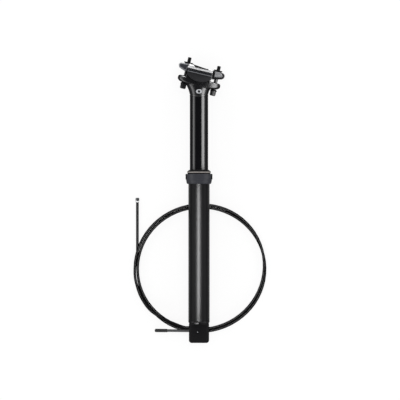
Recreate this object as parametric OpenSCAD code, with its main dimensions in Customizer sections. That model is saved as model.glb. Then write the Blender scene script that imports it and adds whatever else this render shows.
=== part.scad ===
// Dropper seatpost lying on its side, with its control housing coiled beneath it.
// X points to the front of the bike, Y along the post to the saddle, Z up from the table.
// The origin is on the post's axis at the collar's lower face, where a seat tube's rim stops.
// Each piece is drawn upright first, with the post's axis on Z, and then laid down.

/* [Tubes] */
// Outside diameter of the outer tube, which is the bore of the seat tube
tube_d = 31.6; // [30.9:0.1:34.9]
// Wall of the outer tube
tube_wall = 1.7; // [1.5:0.1:2.0]
// Wall of the sliding bushings between the two tubes
bush_wall = 0.5; // [0.4:0.05:0.8]
// Wall of the stanchion
stanchion_wall = 1.7; // [1.4:0.1:2.0]
// Travel of the saddle
drop = 100; // [60:5:125]
// Length of stanchion that stays inside the outer tube when the saddle is up
overlap_len = 84; // [80:1:110]
// Space between the wiper and the head when the saddle is down
head_clear = 11; // [6:1:20]

/* [Collar] */
// How far the seal collar stands out from the outer tube
collar_rise = 4.3; // [3:0.1:6]
// Height of the seal collar
collar_h = 15; // [13:0.5:20]
// Height of the collar's tapered lower band
collar_band_h = 6.6; // [4:0.2:9]
// Depth of thread between the collar and the outer tube
collar_thread = 8; // [5:0.5:10]
// Radial width of the pale scraper ring
scraper_w = 2.4; // [1.6:0.1:3.2]
// Height of the scraper ring
scraper_h = 2.4; // [1.5:0.1:3.5]
// Height of the groove below the scraper ring
scraper_gap = 1.6; // [1:0.1:2.5]
// Height of the wiper lip above the scraper ring
wiper_h = 2.2; // [1.5:0.1:3.5]

/* [Cartridge] */
// Space between the cartridge and the stanchion's bore
cart_gap = 1.9; // [1.5:0.1:2.4]
// Wall of the cartridge cylinder
cart_wall = 1.5; // [1.0:0.1:2.0]
// Diameter of the piston rod
rod_d = 10; // [8:0.5:11]
// Bore of the piston rod
rod_bore = 4.6; // [4:0.1:5]
// Height of the piston
piston_h = 14; // [10:1:20]
// Height of the cartridge gland
gland_h = 12; // [8:1:16]
// Height of the floating piston
float_h = 10; // [8:1:14]
// Length of each bushing
bush_l = 14; // [10:1:20]
// Width of a guide key
key_w = 3; // [2:0.5:4]
// Length of a guide key
key_l = 26; // [16:1:30]

/* [Rail clamp] */
// Diameter of the saddle rails
rail_d = 7; // [7:0.1:8]
// Spacing of the saddle rails
rail_spacing = 44; // [43:0.5:46]
// Length of the rail jaws
jaw_l = 37; // [34:1:40]
// Width of the jaws over both rails
clamp_w = 50; // [49:0.5:54]
// Height of the rails above the head's joint
rail_rise = 35.8; // [34:0.1:38]
// Forward dip of the rails
rail_tilt = 13.4; // [8:0.2:16]
// Radius of the cradle's curved seat
cradle_r = 26.1; // [25.5:0.1:26.6]
// Height of the tilt axis above the rails
tilt_rise = 9.7; // [9.2:0.1:10.2]
// Diameter of the clamp bolts
bolt_d = 5; // [4:0.5:6]
// Distance of the rear bolt behind the clamp's middle
bolt_rear = 19.7; // [19:0.1:21]
// Distance of the front bolt ahead of the clamp's middle
bolt_front = 25.7; // [25:0.1:27]
// Diameter of the barrel nuts
nut_d = 9; // [8:0.2:10]
// Thickness of the head's lugs
lug_h = 10; // [8:0.5:11]
// Width of the head's lugs
lug_w = 18; // [15:0.5:22]
// Width of the head's curved saddle
saddle_w = 30; // [24:1:32]

/* [Foot] */
// Height of the actuator housing
foot_h = 28; // [26:0.5:34]
// Distance between the flats of the actuator housing
foot_flat = 19.2; // [18:0.2:22]
// Thickness of the actuator's back cover
cover_t = 2.6; // [2:0.1:3]
// Diameter of the lever's pivot pin
pin_d = 3; // [2.5:0.1:3.4]
// Height of the pivot above the foot's end
pivot_h = 16; // [15.8:0.1:16.4]
// Radius of the lever's cam
cam_r = 5; // [4.6:0.1:5.2]
// Offset of the cam's centre from the pivot
cam_throw = 2.4; // [2:0.1:2.6]
// Length of the lever's cable arm
arm_l = 7.2; // [6.8:0.1:7.4]
// Half of the lever's swing in degrees
half_swing = 25; // [20:1:28]

/* [Control housing] */
// Diameter of the control housing
cord_d = 4; // [3.8:0.05:4]
// Mean radius of the coil's outer turn
coil_r_out = 96.4; // [96.4:0.1:98]
// Mean radius of the coil's inner turn
coil_r_in = 92.3; // [91:0.1:92.3]
// Height from the lower layer of the coil to the upper one
layer_step = 4.6; // [4.5:0.1:4.8]

/* [Hidden] */
$fn = 96;

// How far cutters reach past what they cut
past = 20;

// Clearances
run_gap = 0.05;
loose_gap = 0.3;
groove_gap = 0.15;

// Radii of the nested tubes, from the outside in
tube_r = tube_d / 2;
bore_r = tube_r - tube_wall;
stan_r = bore_r - bush_wall;
stan_bore_r = stan_r - stanchion_wall;
cart_r = stan_bore_r - cart_gap;
cart_bore_r = cart_r - cart_wall;
rod_r = rod_d / 2;
rod_bore_r = rod_bore / 2;
push_r = rod_bore_r - loose_gap;

// Heights up the post, from the collar's lower face
scraper_z = collar_h + scraper_gap;
wiper_z = scraper_z + scraper_h;
wiper_top = wiper_z + wiper_h;
ring_h = 2;
stan_top = wiper_top + drop + head_clear;
stan_bot = -overlap_len;
plug_h = 14.5;
down_gap = 6;
tube_bot = stan_bot - drop - down_gap - plug_h;
lip_h = 1.5;
nut_gap_h = 2.2;
foot_top = tube_bot - lip_h - nut_gap_h;
foot_bot = foot_top - foot_h;
ceiling_t = 2;
ceiling = foot_top - ceiling_t;
spigot_h = 16;
spigot_bot = stan_top - spigot_h;

// Cartridge heights
cart_bot = stan_bot + 8;
cart_top = stan_top - 12;
gland_top = cart_bot + gland_h;
bumper_h = 3.7;
bumper_gap = 0.9;
piston_bot = gland_top + bumper_h + loose_gap;
piston_top = piston_bot + piston_h;
float_travel = drop * rod_r * rod_r / (cart_bore_r * cart_bore_r);
float_gap = 6;
float_bot = piston_top + drop - float_travel + float_gap;
cap_bot = cart_top - 8;
cap_top = stan_top + 9;
screw_z = stan_top + 5.2;

// Guide keys and their grooves
key_count = 3;
key_sink = 0.6;
key_rise = 0.5;
key_bot = stan_bot + bush_l + 4;
key_top = key_bot + key_l;
groove_r = bore_r + key_rise + groove_gap;
groove_end = 2;

// Upper bushing sits above the keys and below the collar's seal
upper_bush_top = collar_thread - 2;
upper_bush_bot = key_top + 6;

// Rail clamp frame: its X runs along the rails, its Z square to them
rail_x = 2;
rail_z = stan_top + rail_rise;
rail_r = rail_d / 2;
rail_y = rail_spacing / 2;
clamp_half = clamp_w / 2;
part_gap = 0.5;
lip_t = 1.5;
jaw_half = jaw_l / 2;
cradle_half = rail_y - rail_r - 1.5;
bolt_r = bolt_d / 2;
bolt_slot = 2.2;
lug_bot = -22;
lug_top = lug_bot + lug_h;
lug_reach = 10.6;
lug_nose = 8.3;
nut_r = nut_d / 2;
nut_half = 7;
nut_seat_rear = 0.1;
nut_seat_front = -2.8;
pocket_gap = 1;
boss_half = nut_half + pocket_gap + 3;
rear_boss = 13.3;
front_boss = 11.5;
washer_h = 2.5;
bolt_head_h = 7;
bolt_head_r = bolt_r + 1.9;
bolt_over_rear = 16.3;
bolt_over_front = 13.7;

// The clamp's lower side rests on the table
table = -clamp_half;

// Actuator
foot_r = tube_r - 0.75;
flat_y = foot_flat / 2;
cover_y = flat_y - cover_t;
pivot_x = -2;
pivot_z = foot_bot + pivot_h;
pin_r = pin_d / 2;
cavity_x0 = -8.5;
cavity_x1 = 7;
cavity_bot = foot_bot + 3;
cavity_front = -cover_y;
front_wall = flat_y - cover_y;
port_y = 4.9;
port_r = cord_d / 2 + run_gap;
port_face = -foot_r + 1.25;
ferrule_flange = 1.5;
cable_r = 0.7;
barrel_r = 1.6;
arm_half = 1.5;
arm_r = 2.4;
barrel_x = pivot_x + arm_l * sin(half_swing);
barrel_z = pivot_z + arm_l * cos(half_swing);
cable_pull = 2 * arm_l * sin(half_swing);
cam_x = pivot_x + cam_throw * cos(half_swing);
cam_z = pivot_z - cam_throw * sin(half_swing);
tappet_gap = 0.1;
tappet_z = cam_z + cam_r + tappet_gap;
tappet_h = 1.8;
tappet_r = push_r + 0.6;
stub_h = 17.6;
stub_z = foot_bot + stub_h;
stub_slope = 18.5;

// Coil centre and the slight oval that it lies in, turned a little
coil_x = 2.1;
coil_y = -125.6;
oval_x = 1.017;
oval_y = 0.983;
oval_turn = 12;
// The turns lie side by side: the first starts outside, and they change places where they cross
first_inward = [0.3, 0.62];
second_outward = [1.3, 1.62];
second_inward = [1.8, 2];
coil_turns = 2;
loop_rings = 24;
cord_r = cord_d / 2;
hex_flat = cord_r * cos(30);
low_z = table + hex_flat + 0.05;
high_z = low_z + layer_step;
climb_start = 1;
climb_end = 1.45;
coil_start = coil_point(0);
coil_end = coil_point(coil_turns);

// Routes of the housing's free stretches
lead_start = [port_face - ferrule_flange, barrel_z, -port_y];
lead_route = [
    lead_start - [cord_d, 0, 0],
    [-23, -213, -5.3],
    [-33, -209.5, -7.6],
    [-54, -200.5, -12],
    [-73.4, -187.4, -14.6],
    [-86.8, -168, -17.3],
    [-93.9, -147, -18.5],
    coil_start - [0, 2 * cord_d, 0]
];
tail_route = [
    coil_end + [0, 2 * cord_d, 0],
    [-92, -108, -23.2],
    [-92, -92, -23.2],
    [-92, -76, -23.1],
    [-92, -60, -22.9],
    [-92, -44, -22.4],
    [-92, -31, -22.2],
    [-92, -27, -22.2]
];
tail_end = tail_route[len(tail_route) - 1];
end_cap_r = 2.7;
end_cap_l = 6.4;
band_from = 3.8;
band_l = 1.4;
stub_len = 36;
stub_cap_l = 19.3;
stub_cap_r = 2.5;

function lerp(a, b, t) = a + (b - a) * t;
function smooth(t) = let (c = min(1, max(0, t))) c * c * (3 - 2 * c);
function unit(v) = v / norm(v);

// How far a turn has gone over a span, and how far in from the outer radius it lies
function between(t, span) = smooth((t - span[0]) / (span[1] - span[0]));
function coil_side(t) =
    between(t, first_inward) - between(t, second_outward) + between(t, second_inward);

// One point of the coil, t turns from its start at the left
function coil_radius(t) = lerp(coil_r_out, coil_r_in, coil_side(t));
function coil_height(t) =
    lerp(high_z, low_z, smooth((t - climb_start) / (climb_end - climb_start)));
function coil_point(t) =
    let (
        turn = 180 - 360 * t - oval_turn, r = coil_radius(t),
        along = oval_x * r * cos(turn), across = oval_y * r * sin(turn)
    )
    [
        coil_x + along * cos(oval_turn) - across * sin(oval_turn),
        coil_y + along * sin(oval_turn) + across * cos(oval_turn),
        coil_height(t)
    ];
coil_rings = coil_turns * loop_rings;
coil_path = [
    coil_start - [0, cord_d, 0],
    for (i = [0 : coil_rings]) coil_point(i / loop_rings),
    coil_end + [0, cord_d, 0]
];

// The coil's least gap to itself, between points at least a third of a turn apart
fine_rings = 72;
fine = [for (i = [0 : coil_turns * fine_rings]) coil_point(i / fine_rings)];
coil_gap = min([
    for (i = [0 : len(fine) - 1])
        for (j = [i + fine_rings / 3 : 1 : len(fine) - 1])
            norm(fine[i] - fine[j])
]) - cord_d;
echo(coil_gap = coil_gap);

// Points of a smooth curve through a route, with steps rings between its points
function spline_at(p, i, t) =
    let (n = len(p) - 1, a = p[max(0, i - 1)], b = p[i], c = p[i + 1], d = p[min(n, i + 2)])
    0.5 * (2 * b + (c - a) * t + (2 * a - 5 * b + 4 * c - d) * t * t
        + (3 * b - a - 3 * c + d) * t * t * t);
function spline(p, steps) = [
    for (i = [0 : len(p) - 2])
        for (k = [0 : steps - 1]) spline_at(p, i, k / steps),
    p[len(p) - 1]
];

// A closed tube of triangles along a path, with its rings kept upright
module swept_tube(path, r, sides) {
    n = len(path);
    function way(i) = unit(path[min(n - 1, i + 1)] - path[max(0, i - 1)]);
    points = [
        for (i = [0 : n - 1])
            let (side = unit(cross([0, 0, 1], way(i))), up = cross(way(i), side))
            for (k = [0 : sides - 1])
                let (a = 360 * (k + 0.5) / sides - 90)
                path[i] + r * (cos(a) * side + sin(a) * up)
    ];
    function at(i, k) = i * sides + k % sides;
    skin = [
        for (i = [0 : n - 2])
            for (k = [0 : sides - 1])
                for (f = [
                    [at(i, k), at(i + 1, k), at(i + 1, k + 1)],
                    [at(i, k), at(i + 1, k + 1), at(i, k + 1)]
                ]) f
    ];
    ends = [
        for (k = [1 : sides - 2])
            for (f = [[at(0, 0), at(0, k), at(0, k + 1)], [at(n - 1, 0), at(n - 1, k + 1), at(n - 1, k)]]) f
    ];
    polyhedron(points, concat(skin, ends));
}

// Frames and small shapes
module lay() {
    rotate([-90, 0, 0]) children();
}
module clamp_frame() {
    translate([rail_x, 0, rail_z]) rotate([0, rail_tilt, 0]) children();
}
module across(width) {
    rotate([90, 0, 0]) linear_extrude(width, center = true) children();
}
module ring(r_in, r_out, z0, z1) {
    rotate_extrude() translate([r_in, z0]) square([r_out - r_in, z1 - z0]);
}
module rod(r, z0, z1) {
    translate([0, 0, z0]) cylinder(r = r, h = z1 - z0);
}
module cross_rod(r, y0, y1) {
    translate([0, y0, 0]) rotate([-90, 0, 0]) cylinder(r = r, h = y1 - y0);
}
module block(low, high) {
    translate(low) cube(high - low);
}
module bar(x0, x1, y0, y1) {
    r = (y1 - y0) / 2;
    translate([x0 + r, y0]) square([x1 - x0 - 2 * r, y1 - y0]);
    for (x = [x0 + r, x1 - r]) translate([x, y0 + r]) circle(r);
}

// Outer tube and its collar
module key_slots(r, width, z0, z1) {
    for (i = [0 : key_count - 1])
        rotate([0, 0, 90 + 360 * i / key_count])
            block([0, -width / 2, z0], [r, width / 2, z1]);
}
module outer_tube() {
    color("#161617") lay() difference() {
        ring(bore_r, tube_r, tube_bot, collar_thread);
        key_slots(groove_r, key_w + 2 * groove_gap, key_bot - drop - groove_end, key_top + groove_end);
    }
}
collar_r = tube_r + collar_rise;
seal_seat_r = bore_r + 0.4;
scraper_r = seal_seat_r + scraper_w;
spanner_slots = [0, 90, 180];
spanner_w = 4;
spanner_depth = 1.2;
module seal_collar() {
    foot_edge = tube_r + 0.9;
    color("#3a3b40") lay() difference() {
        rotate_extrude() polygon([
            [tube_r, 0], [foot_edge, 0], [foot_edge + 1.5, 1], [collar_r - 0.7, collar_band_h],
            [collar_r, collar_band_h + 0.5], [collar_r, collar_h - 0.7], [collar_r - 0.7, collar_h],
            [seal_seat_r, collar_h], [seal_seat_r, collar_thread], [tube_r, collar_thread]
        ]);
        for (a = spanner_slots)
            rotate([0, 0, a])
                block(
                    [collar_r - spanner_depth, -spanner_w / 2, 1],
                    [collar_r + 1, spanner_w / 2, collar_h - 3]
                );
    }
}
module scraper_ring() {
    color("#9a9591") lay() ring(seal_seat_r, scraper_r, scraper_z, wiper_z);
}
module wiper_seal() {
    lip_r = stan_r + run_gap;
    color("#0c0d0e") lay() rotate_extrude() polygon([
        [lip_r, collar_thread], [seal_seat_r, collar_thread], [seal_seat_r, collar_h],
        [scraper_r - 0.4, collar_h], [scraper_r - 0.4, scraper_z],
        [seal_seat_r, scraper_z], [seal_seat_r, wiper_z], [scraper_r - 0.6, wiper_z],
        [stan_r + 0.6, wiper_top], [lip_r, wiper_top]
    ]);
}
module upper_bushing() {
    color("#6f6a52") lay() ring(stan_r + run_gap, bore_r, upper_bush_bot, upper_bush_top);
}

// Piston rod and what carries it
module base_plug() {
    color("#2b2b2e") lay() {
        ring(rod_r, bore_r, tube_bot, tube_bot + plug_h);
        ring(rod_r, tube_r, tube_bot - lip_h, tube_bot);
    }
}
module rod_nut() {
    color("#b9babc") lay() difference() {
        translate([0, 0, foot_top]) cylinder(r = rod_r + 5, h = nut_gap_h, $fn = 6);
        rod(rod_r, foot_top - 1, foot_top + nut_gap_h + 1);
    }
}
module piston_rod() {
    color("#c2c4c6") lay() ring(rod_bore_r, rod_r, ceiling, piston_bot);
}
seal_depth = 1;
seal_h = 2;
module piston() {
    color("#a9acae") lay() difference() {
        ring(rod_bore_r, cart_bore_r - run_gap, piston_bot, piston_top);
        for (z = piston_seal_heights())
            ring(cart_bore_r - run_gap - seal_depth, cart_bore_r + 1, z, z + seal_h);
    }
}
function piston_seal_heights() = [piston_bot + 3, piston_top - 3 - seal_h];
module piston_seals() {
    color("#101011") lay() for (z = piston_seal_heights())
        ring(cart_bore_r - run_gap - seal_depth, cart_bore_r - run_gap / 2, z, z + seal_h);
}
module topout_bumper() {
    color("#3c2f22") lay() ring(rod_r, cart_bore_r - bumper_gap, piston_bot - bumper_h, piston_bot);
}

// Actuator in the foot
module foot_body() {
    corner = 4;
    intersection() {
        rod(foot_r, foot_bot, foot_top);
        across(2 * foot_r + 2) {
            translate([-foot_r, foot_bot + corner]) square([2 * foot_r, foot_h - corner]);
            translate([corner - foot_r, foot_bot]) square([2 * (foot_r - corner), foot_h]);
            for (s = [-1, 1]) translate([s * (foot_r - corner), foot_bot + corner]) circle(corner);
        }
    }
}
screw_in_z = 6;
screw_places = [
    [9.4, foot_top - screw_in_z], [9.4, foot_bot + screw_in_z], [-10, foot_bot + screw_in_z]
];
screw_r = 1.25;
screw_head_r = 2.1;
screw_head_h = 1.3;
screw_reach = 7;
module cover_screw_holes(y0) {
    for (p = screw_places) translate([p[0], 0, p[1]]) cross_rod(screw_r, y0, flat_y);
}
module side_port(z, depth) {
    translate([port_face - 1, port_y, z]) rotate([0, 90, 0]) cylinder(r = port_r, h = depth + 1);
}
stub_depth = 4;
module stub_frame() {
    translate([port_face, port_y, stub_z]) rotate([0, -90, -stub_slope]) children();
}
module actuator_housing() {
    dimple_r = pin_r + 1.1;
    dimple = 0.6;
    color("#1d1d1f") lay() difference() {
        foot_body();
        block([-foot_r - 1, -flat_y - foot_r, foot_bot - 1], [foot_r + 1, -flat_y, foot_top + 1]);
        block([-foot_r - 1, cover_y, foot_bot - 1], [foot_r + 1, foot_r + 1, foot_top + 1]);
        block([cavity_x0, cavity_front, cavity_bot], [cavity_x1, cover_y + 1, ceiling]);
        rod(rod_r, ceiling - 1, foot_top + 1);
        translate([pivot_x, 0, pivot_z]) {
            cross_rod(pin_r, -flat_y - 1, 0);
            cross_rod(dimple_r, -flat_y - 1, -flat_y + dimple);
        }
        block(
            [-foot_r - 1, port_y - 3, stub_z - 3],
            [port_face, cover_y + 1, barrel_z + 3]
        );
        side_port(barrel_z, cavity_x0 - port_face + 1);
        stub_frame() rod(port_r, -stub_depth, 2);
        cover_screw_holes(cover_y - screw_reach);
    }
}
module actuator_cover() {
    color("#242427") lay() difference() {
        foot_body();
        block([-foot_r - 1, -foot_r - 1, foot_bot - 1], [foot_r + 1, cover_y, foot_top + 1]);
        block([-foot_r - 1, flat_y, foot_bot - 1], [foot_r + 1, foot_r + 1, foot_top + 1]);
        translate([pivot_x, 0, pivot_z]) cross_rod(pin_r, 0, flat_y + 1);
        cover_screw_holes(0);
        for (p = screw_places)
            translate([p[0], 0, p[1]]) cross_rod(screw_head_r, flat_y - screw_head_h, flat_y + 1);
    }
}
module cover_screws() {
    socket_r = 1;
    color("#8f9194") lay() for (p = screw_places) translate([p[0], 0, p[1]]) difference() {
        union() {
            cross_rod(screw_r, cover_y - screw_reach, flat_y - screw_head_h);
            cross_rod(screw_head_r, flat_y - screw_head_h, flat_y);
        }
        translate([0, flat_y - 1, 0]) rotate([-90, 0, 0]) cylinder(r = socket_r, h = 2, $fn = 6);
    }
}
module pivot_pin() {
    color("#c9cacc") lay() translate([pivot_x, 0, pivot_z]) cross_rod(pin_r, -flat_y + 0.7, flat_y);
}
module lever_frame() {
    translate([pivot_x, 0, pivot_z]) rotate([0, half_swing, 0]) children();
}
module release_lever() {
    hub_r = pin_r + 2.1;
    slot_r = barrel_r + groove_gap;
    slot_in = 0.9;
    fork = cable_r + loose_gap;
    arm_y0 = port_y - arm_half;
    arm_y1 = port_y + arm_half;
    hub_front = cavity_front + loose_gap;
    hub_back = cover_y - loose_gap;
    color("#4a4d52") lay() difference() {
        union() {
            translate([cam_x, 0, cam_z]) cross_rod(cam_r, -push_r - 0.5, push_r + 0.5);
            translate([pivot_x, 0, pivot_z]) cross_rod(hub_r, hub_front, hub_back);
            lever_frame() {
                translate([0, 0, arm_l]) cross_rod(arm_r, arm_y0, arm_y1);
                block([-arm_r, arm_y0, 0], [arm_r, arm_y1, arm_l]);
            }
        }
        translate([pivot_x, 0, pivot_z]) cross_rod(pin_r + run_gap, hub_front - 1, hub_back + 1);
        lever_frame() {
            for (z = [arm_l - slot_in, arm_l])
                translate([0, 0, z]) cross_rod(slot_r, arm_y0 - 1, arm_y1 + 1);
            block([-slot_r, arm_y0 - 1, arm_l - slot_in], [slot_r, arm_y1 + 1, arm_l]);
            block(
                [-arm_r - 1, port_y - fork, hub_r + 0.4],
                [0, port_y + fork, arm_l + arm_r + 1]
            );
        }
    }
}
module cable_barrel() {
    color("#c9cacc") lay() difference() {
        translate([barrel_x, 0, barrel_z]) cross_rod(barrel_r, port_y - arm_half, port_y + arm_half);
        translate([barrel_x - barrel_r - 1, port_y, barrel_z])
            rotate([0, 90, 0]) cylinder(r = cable_r, h = barrel_r + 1);
    }
}
ferrule_in = cavity_x0 + loose_gap;
module inner_cable() {
    cable_end = ferrule_in - 0.5;
    color("#b4b6b8") lay() translate([cable_end, port_y, barrel_z])
        rotate([0, 90, 0]) cylinder(r = cable_r, h = barrel_x - cable_end);
}
module housing_ferrule() {
    flange_r = cord_r + 0.5;
    color("#17181a") lay() translate([0, port_y, barrel_z]) rotate([0, 90, 0]) difference() {
        union() {
            rod(port_r, port_face, ferrule_in);
            rod(flange_r, port_face - ferrule_flange, port_face);
        }
        rod(cable_r + 0.2, port_face - ferrule_flange - 1, ferrule_in + 1);
    }
}

// Valve
module push_rod() {
    color("#c2c4c6") lay() {
        rod(tappet_r, tappet_z, tappet_z + tappet_h);
        rod(push_r, tappet_z + tappet_h, piston_top + loose_gap);
    }
}
module valve_poppet() {
    poppet_r = rod_bore_r + 1.7;
    color("#b08d4f") lay() rotate_extrude() polygon([
        [0, piston_top + loose_gap], [poppet_r, piston_top + loose_gap],
        [poppet_r, piston_top + loose_gap + 1.6], [poppet_r - 1.2, piston_top + loose_gap + 3],
        [0, piston_top + loose_gap + 3]
    ]);
}
module valve_spring() {
    wire_r = 0.25;
    turns = 3;
    curl_rings = 8;
    mean_r = push_r + loose_gap + wire_r;
    z0 = tappet_z + tappet_h + wire_r + 0.05;
    z1 = ceiling - wire_r - 0.05;
    path = [
        for (i = [0 : turns * curl_rings])
            let (a = 360 * i / curl_rings)
            [mean_r * cos(a), mean_r * sin(a), lerp(z0, z1, i / (turns * curl_rings))]
    ];
    color("#aeb0b2") lay() swept_tube(path, wire_r, 6);
}

// Stanchion, its bushing and keys
module stanchion() {
    color("#121213") lay() difference() {
        ring(stan_bore_r, stan_r, stan_bot, stan_top - ring_h);
        key_pockets();
    }
}
module key_shapes(r0, r1) {
    for (i = [0 : key_count - 1])
        rotate([0, 0, 90 + 360 * i / key_count])
            block([r0, -key_w / 2, key_bot], [r1, key_w / 2, key_top]);
}
module key_pockets() {
    key_shapes(stan_r - key_sink, stan_r + 1);
}
module guide_keys() {
    color("#b08d4f") lay() key_shapes(stan_r - key_sink, bore_r + key_rise);
}
module lower_bushing() {
    color("#6f6a52") lay() ring(stan_r, bore_r - run_gap, stan_bot, stan_bot + bush_l);
}
module joint_ring() {
    color("#8d8f92") lay() rotate_extrude() polygon([
        [stan_bore_r, stan_top - ring_h], [stan_r, stan_top - ring_h],
        [stan_r + 0.3, stan_top - 0.8], [stan_r, stan_top], [stan_bore_r, stan_top]
    ]);
}

// Cartridge
module cartridge_cylinder() {
    color("#9c9ea1") lay() ring(cart_bore_r, cart_r, cart_bot, cart_top);
}
module cartridge_gland() {
    color("#6d7074") lay() difference() {
        ring(rod_r + run_gap, cart_bore_r, cart_bot, gland_top);
        ring(rod_r, rod_r + seal_depth, cart_bot + 4, cart_bot + 4 + seal_h);
    }
}
module gland_seal() {
    color("#101011") lay() ring(rod_r + run_gap / 2, rod_r + seal_depth, cart_bot + 4, cart_bot + 4 + seal_h);
}
set_r = 1.6;
plug_waist = 2;
waist_half = set_r + 0.2;
module cartridge_plug() {
    color("#7c7f83") lay() rotate_extrude() polygon([
        [0, cap_bot], [cart_bore_r, cap_bot], [cart_bore_r, cart_top], [cart_r, cart_top],
        [cart_r, screw_z - waist_half - plug_waist], [cart_r - plug_waist, screw_z - waist_half],
        [cart_r - plug_waist, screw_z + waist_half], [cart_r, screw_z + waist_half + plug_waist],
        [cart_r, cap_top], [0, cap_top]
    ]);
}
module floating_piston() {
    color("#8a8c8f") lay() difference() {
        rod(cart_bore_r - run_gap, float_bot, float_bot + float_h);
        ring(cart_bore_r - run_gap - seal_depth, cart_bore_r + 1, float_seal_z(), float_seal_z() + seal_h);
    }
}
function float_seal_z() = float_bot + (float_h - seal_h) / 2;
module floating_seal() {
    z = float_seal_z();
    color("#101011") lay()
        ring(cart_bore_r - run_gap - seal_depth, cart_bore_r - run_gap / 2, z, z + seal_h);
}

// Head with its two lugs
head_bore_r = cart_r + 0.1;
eye_half_w = 4.3;
eye_half_h = 3.1;
eye_stand = 0.4;
eye_depth = 1.4;
neck_half = saddle_w / 2 - 0.5;
neck_sink = 1.7;
neck_h = rail_rise + lug_bot + neck_sink;
neck_steps = [[0, 0], [0.4, 2.5], [1.4, 6.5], [3, 11]];
eye_y = -neck_half - eye_stand;
module eye_outline() {
    square([2 * (eye_half_w - eye_half_h), 2 * eye_half_h], center = true);
    for (s = [-1, 1]) translate([s * (eye_half_w - eye_half_h), 0]) circle(eye_half_h);
}
module eye_frame() {
    translate([0, eye_y, screw_z]) rotate([-90, 0, 0]) children();
}
module neck() {
    flare = saddle_w / 2 + 3;
    intersection() {
        rotate_extrude() polygon([
            [0, stan_top], for (s = neck_steps) [stan_r + s[0], stan_top + s[1]],
            [flare, stan_top + neck_h], [0, stan_top + neck_h]
        ]);
        block([-flare - 1, -neck_half, stan_top - 1], [flare + 1, neck_half, stan_top + past]);
    }
}
module bolt_axes() {
    for (a = [-bolt_rear, bolt_front]) translate([a, 0, 0]) children();
}
module head() {
    saddle_back = -19;
    saddle_front = 15;
    color("#19191b") lay() difference() {
        union() {
            rod(stan_bore_r, spigot_bot, stan_top);
            neck();
            clamp_frame() {
                across(lug_w) bar(-bolt_rear - lug_reach, bolt_front + lug_nose, lug_bot, lug_top);
                across(saddle_w) polygon([
                    [saddle_back, lug_bot + 1], [0, lug_bot - 1], [saddle_front, lug_bot + 1],
                    [saddle_front, lug_top - 1], [saddle_back, lug_top + 2]
                ]);
            }
        }
        rod(head_bore_r, spigot_bot - 1, cap_top + 0.5);
        clamp_frame() {
            translate([0, 0, tilt_rise]) cross_rod(cradle_r + loose_gap, -clamp_half, clamp_half);
            bolt_axes() rod(bolt_r + 0.2, lug_bot - past / 2, lug_top + past);
        }
        eye_frame() {
            translate([0, 0, -past]) linear_extrude(eye_depth + past) eye_outline();
            rod(set_r, 0, -eye_y);
        }
    }
}
module eyelet() {
    color("#d5d6d8") lay() eye_frame() difference() {
        linear_extrude(eye_depth) eye_outline();
        rod(set_r, -1, eye_depth + 1);
    }
}
module set_screw() {
    key_r = 0.9;
    screw_in = -eye_y - cart_r + plug_waist - run_gap;
    color("#3d3e41") lay() eye_frame() difference() {
        rod(set_r, 0.3, screw_in);
        translate([0, 0, 0.2]) cylinder(r = key_r, h = 1.6, $fn = 6);
    }
}
module clamp_bolt(a, top) {
    color("#141415") lay() clamp_frame() translate([a, 0, 0]) difference() {
        union() {
            rod(bolt_r, lug_bot - washer_h, top);
            rod(bolt_head_r, lug_bot - washer_h - bolt_head_h, lug_bot - washer_h);
        }
        translate([0, 0, lug_bot - washer_h - bolt_head_h - 1])
            cylinder(r = bolt_r - 0.2, h = 4.5, $fn = 6);
    }
}
module front_bolt() {
    clamp_bolt(bolt_front, bolt_over_front);
}
module rear_bolt() {
    clamp_bolt(-bolt_rear, bolt_over_rear);
}
module bolt_washers() {
    color("#26272a") lay() clamp_frame() bolt_axes() difference() {
        translate([0, 0, lug_bot - washer_h])
            cylinder(r1 = bolt_head_r + 0.8, r2 = bolt_head_r - 0.6, h = washer_h);
        rod(bolt_r, lug_bot - washer_h - 1, lug_bot + 1);
    }
}

// Rail clamp
module rail_cuts(z0, z1) {
    for (s = [-1, 1]) {
        translate([0, s * rail_y, 0]) rotate([0, 90, 0]) cylinder(r = rail_r, h = 3 * jaw_l, center = true);
        translate([0, s * (rail_y + clamp_half), (z0 + z1) / 2])
            cube([3 * jaw_l, 2 * clamp_half, z1 - z0], center = true);
    }
}
module lower_cradle() {
    jaw_floor = -rail_r - lip_t;
    color("#1a1b1d") lay() clamp_frame() difference() {
        union() {
            block([-jaw_half, -clamp_half, jaw_floor], [jaw_half, clamp_half, -part_gap]);
            intersection() {
                block(
                    [-jaw_half, -cradle_half, tilt_rise - cradle_r - 1],
                    [jaw_half, cradle_half, -part_gap]
                );
                translate([0, 0, tilt_rise]) cross_rod(cradle_r, -cradle_half, cradle_half);
            }
        }
        rail_cuts(-rail_r, 1);
        block(
            [-bolt_rear - 10, -bolt_r - 0.8, -cradle_r],
            [-bolt_rear + bolt_r + bolt_slot + 1.2, bolt_r + 0.8, 1]
        );
    }
}
module nut_pocket(a, seat) {
    half = nut_r + pocket_gap;
    translate([a, 0, 0]) {
        block([-half, -nut_half - pocket_gap, seat], [half, nut_half + pocket_gap, past]);
        block(
            [-bolt_r - bolt_slot, -bolt_r - 0.6, -past],
            [bolt_r + bolt_slot, bolt_r + 0.6, past]
        );
    }
}
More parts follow.
